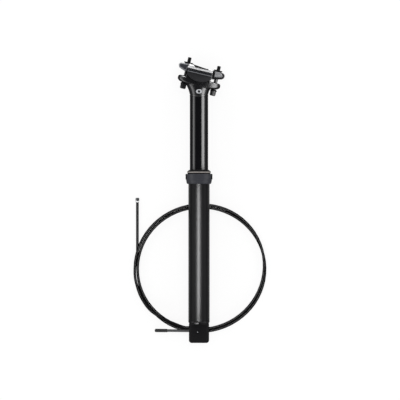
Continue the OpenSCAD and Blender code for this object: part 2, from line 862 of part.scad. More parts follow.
module upper_clamp() {
    jaw_roof = rail_r + lip_t;
    crest_in = 4.5;
    crest_end = 10.5;
    boss_end = 9.5;
    boss_crest = 5.5;
    color("#c4c6c8") lay() clamp_frame() difference() {
        union() {
            across(clamp_w) polygon([
                [-jaw_half, part_gap], [jaw_half, part_gap], [jaw_half, jaw_roof + 0.6],
                [0, jaw_roof], [crest_end - jaw_half, jaw_roof + 0.5], [crest_in - jaw_half, jaw_roof + 2.2],
                [-jaw_half, jaw_roof + 2.6]
            ]);
            across(2 * boss_half) polygon([
                [-bolt_rear - rear_boss, 0], [-bolt_rear - rear_boss + 3.5, -2.6],
                [-jaw_half - 1, -2.8], [-jaw_half - 1, part_gap], [boss_end - jaw_half, part_gap],
                [boss_end - jaw_half, jaw_roof + 0.4], [boss_crest - jaw_half, jaw_roof + 2.2],
                [-bolt_rear, jaw_roof + 1.4],
                [-bolt_rear - rear_boss + 2, jaw_roof + 0.8], [-bolt_rear - rear_boss - 0.4, jaw_roof - 1.6]
            ]);
            across(2 * boss_half) polygon([
                [jaw_half - 8, part_gap], [jaw_half + 1, part_gap], [jaw_half + 1, -4.8],
                [bolt_front + front_boss - 5.7, -5.2], [bolt_front + front_boss - 1.7, -4],
                [bolt_front + front_boss, -1], [bolt_front + front_boss - 0.6, 2.2],
                [bolt_front + front_boss - 3.7, jaw_roof - 0.6], [jaw_half + 1, jaw_roof + 0.2],
                [jaw_half - 8, jaw_roof]
            ]);
        }
        rail_cuts(-1, rail_r);
        nut_pocket(-bolt_rear, nut_seat_rear);
        nut_pocket(bolt_front, nut_seat_front);
    }
}
module barrel_nut(a, seat) {
    color("#17181a") lay() clamp_frame() translate([a, 0, seat + loose_gap + nut_r]) difference() {
        cross_rod(nut_r, -nut_half, nut_half);
        rod(bolt_r + run_gap, -nut_r - 1, nut_r + 1);
    }
}
module front_nut() {
    barrel_nut(bolt_front, nut_seat_front);
}
module rear_nut() {
    barrel_nut(-bolt_rear, nut_seat_rear);
}

// Control housing
module housing_lead() {
    path = concat([lead_start], spline(lead_route, 2), [coil_start - [0, cord_d, 0]]);
    color("#111112") swept_tube(path, cord_r, 8);
}
module housing_coil() {
    color("#111112") swept_tube(coil_path, cord_r, 6);
}
module housing_tail() {
    path = concat([coil_end + [0, cord_d, 0]], tail_route);
    color("#111112") swept_tube(path, cord_r, 8);
}
module tail_frame() {
    translate(tail_end) rotate([-90, 0, 0]) children();
}
module tail_ferrule() {
    color("#bfc1c3") tail_frame() difference() {
        rod(end_cap_r, 0, end_cap_l);
        ring(end_cap_r - 0.6, end_cap_r + 1, band_from, band_from + band_l);
    }
}
module tail_band() {
    color("#111112") tail_frame() ring(end_cap_r - 0.6, end_cap_r, band_from, band_from + band_l);
}
module stub_housing() {
    color("#141415") lay() stub_frame() rod(cord_r, -stub_depth, stub_len);
}
module stub_ferrule() {
    color("#0d0d0e") lay() stub_frame() {
        rod(stub_cap_r, stub_len, stub_len + stub_cap_l);
    }
}

outer_tube();
seal_collar();
scraper_ring();
wiper_seal();
upper_bushing();
base_plug();
rod_nut();
piston_rod();
piston();
piston_seals();
topout_bumper();
actuator_housing();
actuator_cover();
cover_screws();
pivot_pin();
housing_ferrule();
housing_lead();
housing_coil();
housing_tail();
tail_ferrule();
tail_band();
stub_housing();
stub_ferrule();
stanchion();
joint_ring();
head();
lower_bushing();
guide_keys();
cartridge_cylinder();
cartridge_gland();
gland_seal();
cartridge_plug();
set_screw();
eyelet();
front_bolt();
rear_bolt();
bolt_washers();
lower_cradle();
upper_clamp();
front_nut();
rear_nut();
floating_piston();
floating_seal();
release_lever();
inner_cable();
cable_barrel();
push_rod();
valve_poppet();
valve_spring();
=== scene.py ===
# %% [markdown]
# # A dropper seatpost, with its control housing in a loose coil
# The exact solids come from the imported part. This lesson dresses them for the eye:
# each visible piece is modelled again with soft edges, and gets a finish of its own.
# Everything is in metres, in the part's frame: +Y runs up the post to the saddle,
# +X to the front of the bike, and +Z up from the table that the post lies on.

# %% Load the part
import math

import bpy
from mathutils import Matrix, Vector


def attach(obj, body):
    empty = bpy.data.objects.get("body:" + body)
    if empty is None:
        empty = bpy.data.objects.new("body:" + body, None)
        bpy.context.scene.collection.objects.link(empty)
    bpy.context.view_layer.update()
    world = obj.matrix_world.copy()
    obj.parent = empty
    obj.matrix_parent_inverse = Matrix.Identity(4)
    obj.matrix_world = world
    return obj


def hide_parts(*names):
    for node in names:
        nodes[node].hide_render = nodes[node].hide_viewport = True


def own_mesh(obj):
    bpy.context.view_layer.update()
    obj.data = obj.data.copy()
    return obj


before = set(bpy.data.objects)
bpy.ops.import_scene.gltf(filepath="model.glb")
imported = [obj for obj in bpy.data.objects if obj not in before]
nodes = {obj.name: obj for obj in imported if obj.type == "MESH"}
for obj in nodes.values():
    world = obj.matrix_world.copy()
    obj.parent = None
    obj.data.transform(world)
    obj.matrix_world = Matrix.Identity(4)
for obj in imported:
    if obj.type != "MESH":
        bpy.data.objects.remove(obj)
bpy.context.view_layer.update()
MM = 0.001
TABLE_MM = -25
TABLE = TABLE_MM * MM

# %% [markdown]
# ## The camera
# The post was photographed from straight above with a long lens, so it has almost no
# perspective. The camera stands six metres up, and its lens is worked out from the field:
# the picture is 400 pixels wide, and each pixel is 1.488 mm on the post's axis.

# %% Camera
PIXELS, PIXEL_MM = 400, 1.488
FIELD = PIXELS * PIXEL_MM * MM
CAMERA_X, CAMERA_Y = 1.5, -23.8
CAMERA_HEIGHT = 6.0
SENSOR = 36.0
camera_at = (CAMERA_X * MM, CAMERA_Y * MM, CAMERA_HEIGHT)
bpy.ops.object.camera_add(location=camera_at, rotation=(0, 0, 0))
camera = bpy.context.object
camera.data.sensor_width = SENSOR
camera.data.lens = SENSOR * CAMERA_HEIGHT / FIELD
camera.data.clip_end = 20
bpy.context.scene.camera = camera
print("lens", round(camera.data.lens, 1), "mm")

# %% [markdown]
# ## Helpers for finishes
# Colours are read as sRGB hex values, the way a colour picker shows them, and turned to
# linear light by one function. Another adds a node, sets it and links it, so that each
# finish below is a short list of what the real surface does to the light.


# %% Colour and node helpers
def linear(hex_colour):
    """An sRGB hex colour as linear red, green, blue and alpha."""
    parts = [int(hex_colour[i : i + 2], 16) / 255 for i in (1, 3, 5)]
    return [c / 12.92 if c <= 0.04045 else ((c + 0.055) / 1.055) ** 2.4 for c in parts] + [1.0]


def add_node(tree, kind, inputs=None, **settings):
    """A new node with its settings, its socket values and its links."""
    node = tree.nodes.new(kind)
    for name, value in settings.items():
        setattr(node, name, value)
    for name, value in (inputs or {}).items():
        if isinstance(value, bpy.types.NodeSocket):
            tree.links.new(value, node.inputs[name])
        else:
            node.inputs[name].default_value = value
    return node


def start_finish(name, **sockets):
    """A new material: its node tree, its shader, and the object's own coordinates."""
    material = bpy.data.materials.new(name)
    material.use_nodes = True
    tree = material.node_tree
    shader = tree.nodes["Principled BSDF"]
    for socket, value in sockets.items():
        shader.inputs[socket.replace("_", " ")].default_value = value
    place = add_node(tree, "ShaderNodeTexCoord").outputs["Object"]
    return material, tree, shader, place


def per_metre(size_mm):
    """A pattern's scale for a feature of this size, since coordinates are in metres."""
    return 1 / (size_mm * MM)


def grade(tree, shader, tone_by, gloss_by, colours, rough):
    """Vary the colour by one pattern and the roughness by another, each from low to high."""
    tone = add_node(tree, "ShaderNodeValToRGB", {"Fac": tone_by.outputs["Fac"]})
    for stop, colour in zip(tone.color_ramp.elements, colours):
        stop.color = linear(colour)
    ends = {"To Min": rough[0], "To Max": rough[1]}
    gloss = add_node(tree, "ShaderNodeMapRange", {"Value": gloss_by.outputs["Fac"], **ends})
    tree.links.new(tone.outputs["Color"], shader.inputs["Base Color"])
    tree.links.new(gloss.outputs["Result"], shader.inputs["Roughness"])


def plastic(name, colours, grain_mm, rough, detail=3.0, **sockets):
    """A moulded or extruded finish, whose colour and gloss vary by one pattern."""
    material, tree, shader, place = start_finish(name, **sockets)
    pattern = {"Vector": place, "Scale": per_metre(grain_mm), "Detail": detail}
    grain = add_node(tree, "ShaderNodeTexNoise", pattern)
    grade(tree, shader, grain, grain, colours, rough)
    return material


# %% [markdown]
# ## Finishes: extruded jacket plastic and rubber
# The control housing's jacket is extruded polyethylene: smooth along its length, with a
# faint orange peel, drawn coarser than real. Seals are moulded nitrile rubber, duller
# and with a dusty bloom.

# %% Jacket plastic
jacket_plastic, tree, shader, place = start_finish(
    "extruded_polyethylene", IOR=1.5, Specular_IOR_Level=0.04
)
pattern = {"Vector": place, "Scale": per_metre(1.2), "Detail": 3.0}
peel = add_node(tree, "ShaderNodeTexNoise", pattern)
grade(tree, shader, peel, peel, ("#030304", "#08080a"), (0.28, 0.34))
relief = {"Height": peel.outputs["Fac"], "Strength": 0.05, "Distance": 0.05 * MM}
bump = add_node(tree, "ShaderNodeBump", relief)
tree.links.new(bump.outputs["Normal"], shader.inputs["Normal"])

# %% Nitrile rubber
nitrile_rubber = plastic(
    "moulded_nitrile_rubber",
    ("#060607", "#0e0e0f"),
    2.5,
    (0.55, 0.75),
    detail=5.0,
    IOR=1.52,
    Specular_IOR_Level=0.2,
)
print("finishes", jacket_plastic.name, nitrile_rubber.name)

# %% [markdown]
# ## The control housing
# The housing is one stiff 4 mm tube. It leaves the foot's side, drops to the table, runs
# two turns of a coil behind the post, and ends in a straight tail. The turns lie side by
# side and change places where they cross, as a coil does when it is laid down. A curve
# with a round bevel makes such a tube, and its points follow the same route as the
# solid's.

# %% Route of the housing
CORD_D = 4.0
CORD_R = CORD_D / 2
LOW = TABLE_MM + CORD_R
TURN_RISE = 4.4
HIGH = LOW + TURN_RISE
COIL_MIDDLE = Vector((2.1, -125.6, 0))
OVAL = (1.017, 0.983)
OVAL_TURN = math.radians(12)
R_OUT, R_IN = 96.4, 92.3
# The turn moves inwards or outwards (1 or -1) between these two counts of turns.
SWAPS = ((0.3, 0.62, 1), (1.3, 1.62, -1), (1.8, 2.0, 1))
DROP_START, DROP_END = 1.0, 1.45
TURN_POINTS = 64
LEAD_START = Vector((-15.3, -213.67, -4.9))
TAIL_END = Vector((-92, -27, -22.2))
# A bevel's facets lie inside of its circle, so the jacket is drawn this much larger.
FACET_ALLOWANCE = 0.02


def smooth(t):
    t = min(1, max(0, t))
    return t * t * (3 - 2 * t)


def between(t, start, end):
    return smooth((t - start) / (end - start))


def coil_point(t):
    """A point of the coil, t turns from its start at the left."""
    angle = math.radians(180 - 360 * t) - OVAL_TURN
    side = sum(way * between(t, start, end) for start, end, way in SWAPS)
    radius = R_OUT + (R_IN - R_OUT) * side
    height = HIGH + (LOW - HIGH) * between(t, DROP_START, DROP_END)
    x, y = OVAL[0] * radius * math.cos(angle), OVAL[1] * radius * math.sin(angle)
    return COIL_MIDDLE + Matrix.Rotation(OVAL_TURN, 3, "Z") @ Vector((x, y, height))


def through(points, steps):
    """A smooth curve through the points, with steps between each two."""
    out = []
    last = len(points) - 1
    for i in range(last):
        a, b = points[max(0, i - 1)], points[i]
        c, d = points[i + 1], points[min(last, i + 2)]
        square, cube = 2 * a - 5 * b + 4 * c - d, 3 * b - a - 3 * c + d
        for k in range(steps):
            t = k / steps
            out.append(0.5 * (2 * b + (c - a) * t + square * t * t + cube * t * t * t))
    return out + [points[last]]


coil_start = coil_point(0)
coil_end = coil_point(2)
step = Vector((0, CORD_D, 0))
lead_route = [
    LEAD_START - Vector((CORD_D, 0, 0)),
    Vector((-23, -213, -5.3)),
    Vector((-33, -209.5, -7.6)),
    Vector((-54, -200.5, -12)),
    Vector((-73.4, -187.4, -14.6)),
    Vector((-86.8, -168, -17.3)),
    Vector((-93.9, -147, -18.5)),
    coil_start - 2 * step,
]
tail_route = [
    coil_end + 2 * step,
    Vector((-92, -108, LOW)),
    Vector((-92, -92, LOW)),
    Vector((-92, -76, LOW)),
    Vector((-92, -60, -22.8)),
    Vector((-92, -44, -22.4)),
    Vector((-92, -31, -22.2)),
    TAIL_END,
]
coil = [coil_point(i / TURN_POINTS) for i in range(2 * TURN_POINTS + 1)]
housing_path = [LEAD_START] + through(lead_route, 5) + [coil_start - step] + coil
housing_path += [coil_end + step] + through(tail_route, 2)
housing_length = sum((b - a).length for a, b in zip(housing_path, housing_path[1:]))
print("housing length", round(housing_length), "mm in", len(housing_path), "points")


# %% Tube along a route
def tube(name, path_mm, radius_mm, finish):
    """A round tube along a route, as a curve with a bevel."""
    curve = bpy.data.curves.new(name, "CURVE")
    curve.dimensions = "3D"
    curve.bevel_depth = radius_mm * MM
    curve.bevel_resolution = 6
    curve.use_fill_caps = True
    spline = curve.splines.new("POLY")
    spline.points.add(len(path_mm) - 1)
    for point, at in zip(spline.points, path_mm):
        point.co = (*(at * MM), 1)
    piece = bpy.data.objects.new(name, curve)
    bpy.context.scene.collection.objects.link(piece)
    curve.materials.append(finish)
    return piece


housing = tube("control_housing", housing_path, CORD_R + FACET_ALLOWANCE, jacket_plastic)
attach(housing, "lower_post")
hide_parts("housing_lead", "housing_coil", "housing_tail")

# %% [markdown]
# A second, short piece of housing is plugged into the foot below the first and ends in a
# black cap that rests on the table. It is straight, so two points would be enough for its
# line, but it is given a few more. Its jacket is grey vinyl, duller than the housing's.

# %% Stub plastic
stub_plastic = plastic(
    "extruded_grey_vinyl", ("#333334", "#424243"), 1.0, (0.40, 0.52), IOR=1.52
)
print("finish", stub_plastic.name)

# %% Stub of housing
STUB_PORT = Vector((-13.05, -218.6, -4.9))
STUB_SLOPE = math.radians(18.5)
stub_way = Vector((-math.cos(STUB_SLOPE), 0, -math.sin(STUB_SLOPE)))
STUB_IN, STUB_OUT = -4.0, 36.0
STUB_STEPS = 16
stub_path = [
    STUB_PORT + stub_way * (STUB_IN + (STUB_OUT - STUB_IN) * i / STUB_STEPS)
    for i in range(STUB_STEPS + 1)
]
stub = tube("housing_stub", stub_path, CORD_R, stub_plastic)
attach(stub, "lower_post")
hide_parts("stub_housing")
print("stub of", len(stub_path), "points")

# %% [markdown]
# ## Modelling helpers
# Turned pieces are drawn as half a section and spun about the post's axis. Flat pieces
# are drawn as an outline and extruded. Both begin from one point, which an edit-mode
# extrude carries from corner to corner, as by hand.


# %% Drawing helpers
def deselect():
    if bpy.context.object and bpy.context.object.mode != "OBJECT":
        bpy.ops.object.mode_set(mode="OBJECT")
    bpy.ops.object.select_all(action="DESELECT")


def pick(piece):
    deselect()
    piece.select_set(True)
    bpy.context.view_layer.objects.active = piece


def draw_loop(name, points):
    """A closed loop of edges through the points, left open in edit mode."""
    deselect()
    bpy.ops.mesh.primitive_plane_add(size=MM)
    piece = bpy.context.object
    piece.name = piece.data.name = name
    bpy.ops.object.mode_set(mode="EDIT")
    bpy.ops.mesh.merge(type="CENTER")
    bpy.ops.transform.translate(value=points[0])
    for a, b in zip(points, points[1:] + points[:1]):
        bpy.ops.mesh.extrude_vertices_move(TRANSFORM_OT_translate={"value": b - a})
    bpy.ops.mesh.select_all(action="SELECT")
    bpy.ops.mesh.remove_doubles(threshold=1e-7)
    return piece


def close_up(piece):
    """Merge what meets, and turn all faces outwards."""
    bpy.ops.mesh.select_all(action="SELECT")
    bpy.ops.mesh.remove_doubles(threshold=2e-6)
    bpy.ops.mesh.normals_make_consistent(inside=False)
    bpy.ops.object.mode_set(mode="OBJECT")
    return piece


def turned(name, section, steps=96):
    """Half a section, as radius and height in mm, spun about Y."""
    piece = draw_loop(name, [Vector((r * MM, y * MM, 0)) for r, y in section])
    bpy.ops.mesh.spin(steps=steps, angle=2 * math.pi, center=(0, 0, 0), axis=(0, 1, 0))
    return close_up(piece)


def plate(name, outline, low, high):
    """An outline in mm, extruded from one height to another."""
    piece = draw_loop(name, [Vector((x * MM, y * MM, low * MM)) for x, y in outline])
    bpy.ops.mesh.edge_face_add()
    bpy.ops.mesh.extrude_region_move(TRANSFORM_OT_translate={"value": (0, 0, (high - low) * MM)})
    return close_up(piece)


def arc(x, y, radius, start, end, steps=12):
    """Points of an arc, in mm and degrees."""
    angles = [math.radians(start + (end - start) * i / steps) for i in range(steps + 1)]
    return [(x + radius * math.cos(a), y + radius * math.sin(a)) for a in angles]


def block(name, low, high):
    corners = [(low[0], low[1]), (high[0], low[1]), (high[0], high[1]), (low[0], high[1])]
    return plate(name, corners, low[2], high[2])


def post(name, x, y, radius, low, high, steps=48):
    """A round cutter that stands on the XY plane."""
    return plate(name, arc(x, y, radius, 0, 360 * (steps - 1) / steps, steps - 1), low, high)


# %% Shaping helpers
def modify(piece, kind, **settings):
    """Add a modifier, set it and apply it."""
    pick(piece)
    bpy.ops.object.modifier_add(type=kind)
    modifier = piece.modifiers[-1]
    for name, value in settings.items():
        setattr(modifier, name, value)
    bpy.ops.object.modifier_apply(modifier=modifier.name)
    return piece


def combine(piece, other, operation):
    modify(piece, "BOOLEAN", object=other, operation=operation, solver="EXACT")
    bpy.data.objects.remove(other)
    return piece


def cut(piece, *cutters):
    for cutter in cutters:
        combine(piece, cutter, "DIFFERENCE")


def join(first, *others):
    """Make several pieces one, under the first one's name."""
    pick(first)
    for other in others:
        other.select_set(True)
    bpy.ops.object.join()
    return first


def soften(piece, width_mm, segments=3, angle=32):
    """Round the edges that are sharper than an angle."""
    return modify(
        piece,
        "BEVEL",
        width=width_mm * MM,
        segments=segments,
        limit_method="ANGLE",
        angle_limit=math.radians(angle),
    )


def place_at(piece, matrix):
    """Move a piece by a matrix, and put the move into its mesh."""
    piece.matrix_world = matrix @ piece.matrix_world
    pick(piece)
    bpy.ops.object.transform_apply(location=True, rotation=True, scale=True)
    return piece


def paint(piece, finishes, choose):
    """Give a piece several finishes, with a function that picks one for each face."""
    for finish in finishes:
        piece.data.materials.append(finish)
    for face in piece.data.polygons:
        face.material_index = choose(face)


def settle(piece, body, slot, finish, *replaced, crease=32):
    """Shade a finished piece, paint it, and fix it to its body."""
    pick(piece)
    bpy.ops.object.shade_smooth_by_angle(angle=math.radians(crease))
    modify(piece, "WEIGHTED_NORMAL", keep_sharp=True)
    if not piece.data.materials:
        piece.data.materials.append(finish)
    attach(piece, body)
    if replaced:
        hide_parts(*replaced)
    print(piece.name, len(piece.data.polygons), "faces")
    return piece


# %% [markdown]
# ## Finishes: black anodised aluminium
# The tubes are drawn aluminium, dyed black in the anodising bath. The outer tube was
# blasted first, so it is satin. The stanchion is polished and hard-coated, so it mirrors
# the studio's lights as long stripes. A film like this reflects as a dielectric, so these
# finishes aren't metallic in the shader. Black oxide on steel and a grained nylon cap
# meet the light in the same way, so they share the recipe. The grain is drawn coarser
# than real grit, so that it shows.


# %% Anodised finishes
CLOUD_MM = 22.0
GRAIN_DEPTH_MM = 0.02


def anodised(name, colours, grain_mm, rough, strength, shine=0.5):
    """A thin film over a surface with a grain of this size, in faint clouds of tone."""
    material, tree, shader, place = start_finish(name, IOR=1.6, Specular_IOR_Level=shine)
    fine = {"Vector": place, "Scale": per_metre(grain_mm), "Detail": 4.0}
    broad = {"Vector": place, "Scale": per_metre(CLOUD_MM), "Detail": 2.0}
    grain = add_node(tree, "ShaderNodeTexNoise", fine)
    cloud = add_node(tree, "ShaderNodeTexNoise", broad)
    grade(tree, shader, cloud, grain, colours, rough)
    height = grain.outputs["Fac"]
    relief = {"Height": height, "Strength": strength, "Distance": GRAIN_DEPTH_MM * MM}
    bump = add_node(tree, "ShaderNodeBump", relief)
    tree.links.new(bump.outputs["Normal"], shader.inputs["Normal"])
    return material


blasted_black = anodised(
    "blasted_black_anodised_aluminium", ("#0e0e0f", "#141415"), 0.5, (0.30, 0.38), 0.2, 0.05
)
polished_black = anodised(
    "polished_black_anodised_aluminium", ("#08080a", "#0e0e10"), 0.8, (0.12, 0.17), 0.05, 0.25
)
forged_black = anodised(
    "forged_black_anodised_aluminium", ("#0b0b0c", "#131315"), 0.6, (0.22, 0.32), 0.25, 0.3
)
cast_black = anodised(
    "grained_black_cast_aluminium", ("#08080a", "#111112"), 0.45, (0.50, 0.64), 0.9, 0.15
)
dark_grey = anodised(
    "satin_dark_grey_anodised_aluminium", ("#2a2b30", "#34353a"), 0.5, (0.34, 0.42), 0.2, 0.2
)
oxide_steel = anodised(
    "black_oxide_steel", ("#0b0b0c", "#151517"), 0.7, (0.26, 0.40), 0.3, 0.3
)
cap_plastic = anodised(
    "moulded_black_nylon", ("#141415", "#1e1e1f"), 0.9, (0.36, 0.48), 0.3, 0.3
)
ring_black = anodised(
    "polished_black_oxide_steel", ("#0a0a0b", "#121214"), 0.8, (0.12, 0.17), 0.05, 0.5
)
# Painted highlights: the next two lighter greys stand in for light caught on the clamp's rear boss
# rims and the cradle's groove lips; the paler one also colours the pivot pin's end.
rim_highlight_grey = anodised(
    "painted_rim_highlight_grey", ("#66676b", "#76777b"), 0.5, (0.34, 0.44), 0.2, 0.2
)
pin_end_and_rim_highlight_grey = anodised(
    "pale_grey_pin_end_and_painted_rim_highlight", ("#86878a", "#98999c"), 0.5, (0.34, 0.44), 0.2, 0.3
)
etched_black = anodised(
    "etched_black_anodised_aluminium", ("#1b1b1d", "#232326"), 0.5, (0.34, 0.44), 0.25, 0.25
)
satin_alloy = anodised(
    "satin_clear_anodised_aluminium", ("#a2a4a7", "#b4b6b9"), 0.6, (0.30, 0.42), 0.3
)
clear_alloy = anodised(
    "blasted_clear_anodised_aluminium", ("#ececee", "#fafafa"), 0.6, (0.34, 0.46), 0.3
)
print("anodised finishes ready")

# %% [markdown]
# ## Finishes: bare metal and grey plastic
# The tail's ferrule and the front boss's face are machined aluminium: fine parallel tool
# marks in one direction, drawn coarser than real ones so that they show. The scraper ring
# is moulded acetal in a warm grey. Bushings, guide keys and the valve's poppet are bronze.


# %% Bare metals
def machined(name, colours, mark_mm, rough):
    """Bare metal with tool marks that run around or along a piece."""
    material, tree, shader, place = start_finish(name, Metallic=1.0)
    stretch = add_node(tree, "ShaderNodeMapping", {"Vector": place, "Scale": (0.12, 1.0, 0.12)})
    along = stretch.outputs["Vector"]
    pattern = {"Vector": along, "Scale": per_metre(mark_mm), "Detail": 3.0}
    marks = add_node(tree, "ShaderNodeTexNoise", pattern)
    grade(tree, shader, marks, marks, colours, rough)
    return material


grey_alloy = machined("milled_grey_aluminium", ("#77787a", "#98999b"), 0.6, (0.38, 0.52))
plain_alloy = machined("turned_aluminium", ("#8f9194", "#b9bbbd"), 0.5, (0.26, 0.40))
plain_steel = machined("ground_steel", ("#9c9da0", "#c6c7c9"), 0.4, (0.20, 0.34))
bronze = machined("sintered_bronze", ("#7d5f33", "#a5824c"), 0.4, (0.35, 0.50))

# %% Moulded acetal
acetal = plastic(
    "moulded_warm_grey_acetal", ("#7d7874", "#938e8a"), 1.5, (0.38, 0.5), IOR=1.48
)
print("bare metals and acetal ready")

# %% [markdown]
# ## The tubes and the seals between them
# All of these are turned on a lathe in real life, so they are spun here too. Each section
# is drawn with its true chamfers, and a bevel then breaks the sharp corners, because an
# edge without a highlight looks drawn and not made. The collar is dark grey and has
# notches for its wrench; its two sides, where the round collar turns away from the light,
# are painted black as painted shade.

# %% Outer tube
TUBE_R, BORE_R, STAN_R, STAN_BORE = 15.8, 14.2, 13.6, 11.9
TUBE_BOT, TUBE_TOP = -204.5, 8.0
outer = turned(
    "outer_tube_shell",
    [(BORE_R, TUBE_BOT), (TUBE_R, TUBE_BOT), (TUBE_R, TUBE_TOP), (BORE_R, TUBE_TOP)],
    steps=128,
)
soften(outer, 0.3)
settle(outer, "lower_post", "tube_black", blasted_black, "outer_tube")

# %% Stanchion and its joint ring
STAN_BOT, STAN_TOP = -84.0, 132.2
stanchion = turned(
    "stanchion_shell",
    [(STAN_BORE, STAN_BOT), (STAN_R, STAN_BOT), (STAN_R, STAN_TOP - 2), (STAN_BORE, STAN_TOP - 2)],
    steps=128,
)
soften(stanchion, 0.25)
settle(stanchion, "upper_post", "stanchion_black", polished_black, "stanchion")
joint_ring = turned(
    "neck_joint_ring",
    [
        (STAN_BORE, STAN_TOP - 2),
        (STAN_R, STAN_TOP - 2),
        (STAN_R + 0.25, STAN_TOP - 1.4),
        (STAN_R + 0.25, STAN_TOP - 0.6),
        (STAN_R, STAN_TOP),
        (STAN_BORE, STAN_TOP),
    ],
)
soften(joint_ring, 0.12, segments=2, angle=20)
settle(joint_ring, "upper_post", "plain_alloy", ring_black, "joint_ring")

# %% Seal collar
COLLAR_R, SEAT_R, COLLAR_H = 20.1, 14.6, 15.0
# How far out to each side the collar is painted black, as painted shade.
SHADED_SIDES_FROM = 18.2
collar = turned(
    "collar_shell",
    [
        (TUBE_R, 0),
        (16.7, 0),
        (18.2, 1.0),
        (19.4, 6.6),
        (19.5, 6.75),
        (COLLAR_R, 7.1),
        (COLLAR_R, COLLAR_H - 0.7),
        (COLLAR_R - 0.7, COLLAR_H),
        (SEAT_R, COLLAR_H),
        (SEAT_R, TUBE_TOP),
        (TUBE_R, TUBE_TOP),
    ],
    steps=128,
)
for turn in (0, 90, 180):
    slot_cut = block("slot_cut", (18.9, 1.0, -2.0), (22.0, 12.0, 2.0))
    cut(collar, place_at(slot_cut, Matrix.Rotation(math.radians(turn), 4, "Y")))
soften(collar, 0.3, angle=28)
# Painted shade: the collar's faces beyond this distance to either side, where its round side turns
# away from the light, are painted black.
paint(collar, (dark_grey, cast_black), lambda face: int(abs(face.center.x) > SHADED_SIDES_FROM * MM))
settle(collar, "lower_post", "collar_grey", dark_grey, "seal_collar")

# %% Scraper ring and wiper lip
SCRAPER_R, SCRAPER_LOW, SCRAPER_TOP = 17.6, 16.6, 18.3
scraper = turned(
    "scraper_band",
    [
        (SEAT_R, SCRAPER_LOW),
        (SCRAPER_R, SCRAPER_LOW),
        (SCRAPER_R + 0.1, 17.4),
        (SCRAPER_R, SCRAPER_TOP),
        (SEAT_R, SCRAPER_TOP),
    ],
)
soften(scraper, 0.35, angle=40)
settle(scraper, "lower_post", "pale_ring", acetal, "scraper_ring")
LIP_R, LIP_TOP = STAN_R + 0.05, 21.2
wiper = turned(
    "wiper_lip",
    [
        (LIP_R, TUBE_TOP),
        (SEAT_R, TUBE_TOP),
        (SEAT_R, COLLAR_H),
        (SCRAPER_R - 0.5, COLLAR_H),
        (SCRAPER_R - 0.5, SCRAPER_LOW),
        (SEAT_R, SCRAPER_LOW),
        (SEAT_R, SCRAPER_TOP),
        (SCRAPER_R - 0.2, SCRAPER_TOP),
        (SCRAPER_R - 0.5, 19.2),
        (STAN_R + 0.9, 20.9),
        (STAN_R + 0.5, LIP_TOP),
        (LIP_R, LIP_TOP),
    ],
)
settle(wiper, "lower_post", "seal_rubber", nitrile_rubber, "wiper_seal")

# %% [markdown]
# ## The clamp's frame
# The rails dip 13.4 degrees to the front, so everything on the head is drawn square to
# the rails first: X along them, Y away from the post, Z across. One matrix then tilts
# each piece into place.

# %% Clamp frame
TILT = math.radians(13.4)
clamp_place = Matrix.Translation((2 * MM, 168 * MM, 0)) @ Matrix.Rotation(-TILT, 4, "Z")
TILT_RISE = 9.7
CRADLE_R = 26.1
REAR, FRONT = -19.7, 25.7
REAR_SEAT, FRONT_SEAT = 0.1, -2.8
LUG_BOT, BOLT_R = -22.0, 2.8
rear_place, front_place = (
    clamp_place @ Matrix.Translation((along * MM, 0, 0)) for along in (REAR, FRONT)
)
print("rails dip", round(math.degrees(TILT), 1), "degrees")

# %% [markdown]
# ## The forged head
# A forging has no sharp inner corners: the hot metal flows from the round neck into the
# two lugs. Ovals are drawn up the neck, each wider and more tilted than the last, and a
# skin is bridged over them. Remeshing makes the skin even, and smoothing rounds it as a
# die does. The machined places, the curved seat, the bolt holes and the eyelet's pocket,
# are cut afterwards and stay crisp.


# %% Loft helpers
def oval(left, right, depth, fullness=1.0, points=48):
    """A closed oval between two points in mm, with a depth along Z; below 1 it is fuller."""
    middle, half = (left + right) / 2, (right - left) / 2
    across = Vector((0, 0, depth))
    loop = []
    for i in range(points):
        turn = 2 * math.pi * i / points
        parts = (math.cos(turn), math.sin(turn))
        along, aside = (math.copysign(abs(part) ** fullness, part) for part in parts)
        loop.append((middle + half * along + across * aside) * MM)
    return loop


def loft(name, loops):
    """A skin over loops that lie one above the other, closed at both ends."""
    piece = join(*[draw_loop(name, loop) for loop in loops])
    bpy.ops.object.mode_set(mode="EDIT")
    bpy.ops.mesh.select_all(action="SELECT")
    bpy.ops.mesh.bridge_edge_loops()
    bpy.ops.mesh.select_all(action="SELECT")
    bpy.ops.mesh.fill_holes(sides=0)
    return close_up(piece)


# %% Rough solid of the head
NECK = (
    (-13.6, 128.0, 13.6, 128.0, 13.6),
    (-13.6, 132.2, 13.6, 132.2, 13.6),
    (-14.0, 134.8, 14.0, 134.7, 13.9),
    (-15.4, 140.0, 15.0, 138.6, 14.2),
    (-17.8, 145.2, 17.4, 141.4, 14.5),
    (-21.8, 150.2, 24.0, 141.2, 14.6),
)
LUG_FULLNESS = 0.8
LUGS = (
    (-26.6, 29.8, -21.3, 14.3),
    (-29.9, 33.4, -19.0, 14.1),
    (-30.6, 34.2, -16.8, 13.9),
    (-30.4, 34.0, -14.2, 13.5),
    (-29.6, 33.2, -12.7, 12.6),
    (-28.0, 31.6, -12.0, 10.6),
)
loops = [
    oval(Vector((x0, y0, 0)), Vector((x1, y1, 0)), deep) for x0, y0, x1, y1, deep in NECK
]
for rear, front, level, deep in LUGS:
    ends = [clamp_place @ Vector((a * MM, level * MM, 0)) / MM for a in (rear, front)]
    loops.append(oval(*ends, deep, fullness=LUG_FULLNESS))
head = loft("forged_head", loops)
RISES = (
    [(-19.5, -16), (-10, -16), (-10, -12), (-15.5, -10.2), (-19.3, -9.8)],
    [(10, -17), (19.5, -18), (19.0, -10.9), (15.5, -10.5), (10, -12)],
)
for outline in RISES:
    rise = plate("rise", outline, -12.5, 12.5)
    soften(rise, 1.5)
    place_at(rise, clamp_place)
    combine(head, rise, "UNION")
print("head loft", len(head.data.polygons), "faces")
modify(head, "REMESH", mode="VOXEL", voxel_size=0.5 * MM)
modify(head, "SMOOTH", factor=0.5, iterations=12)
print("head skin", len(head.data.polygons), "faces")

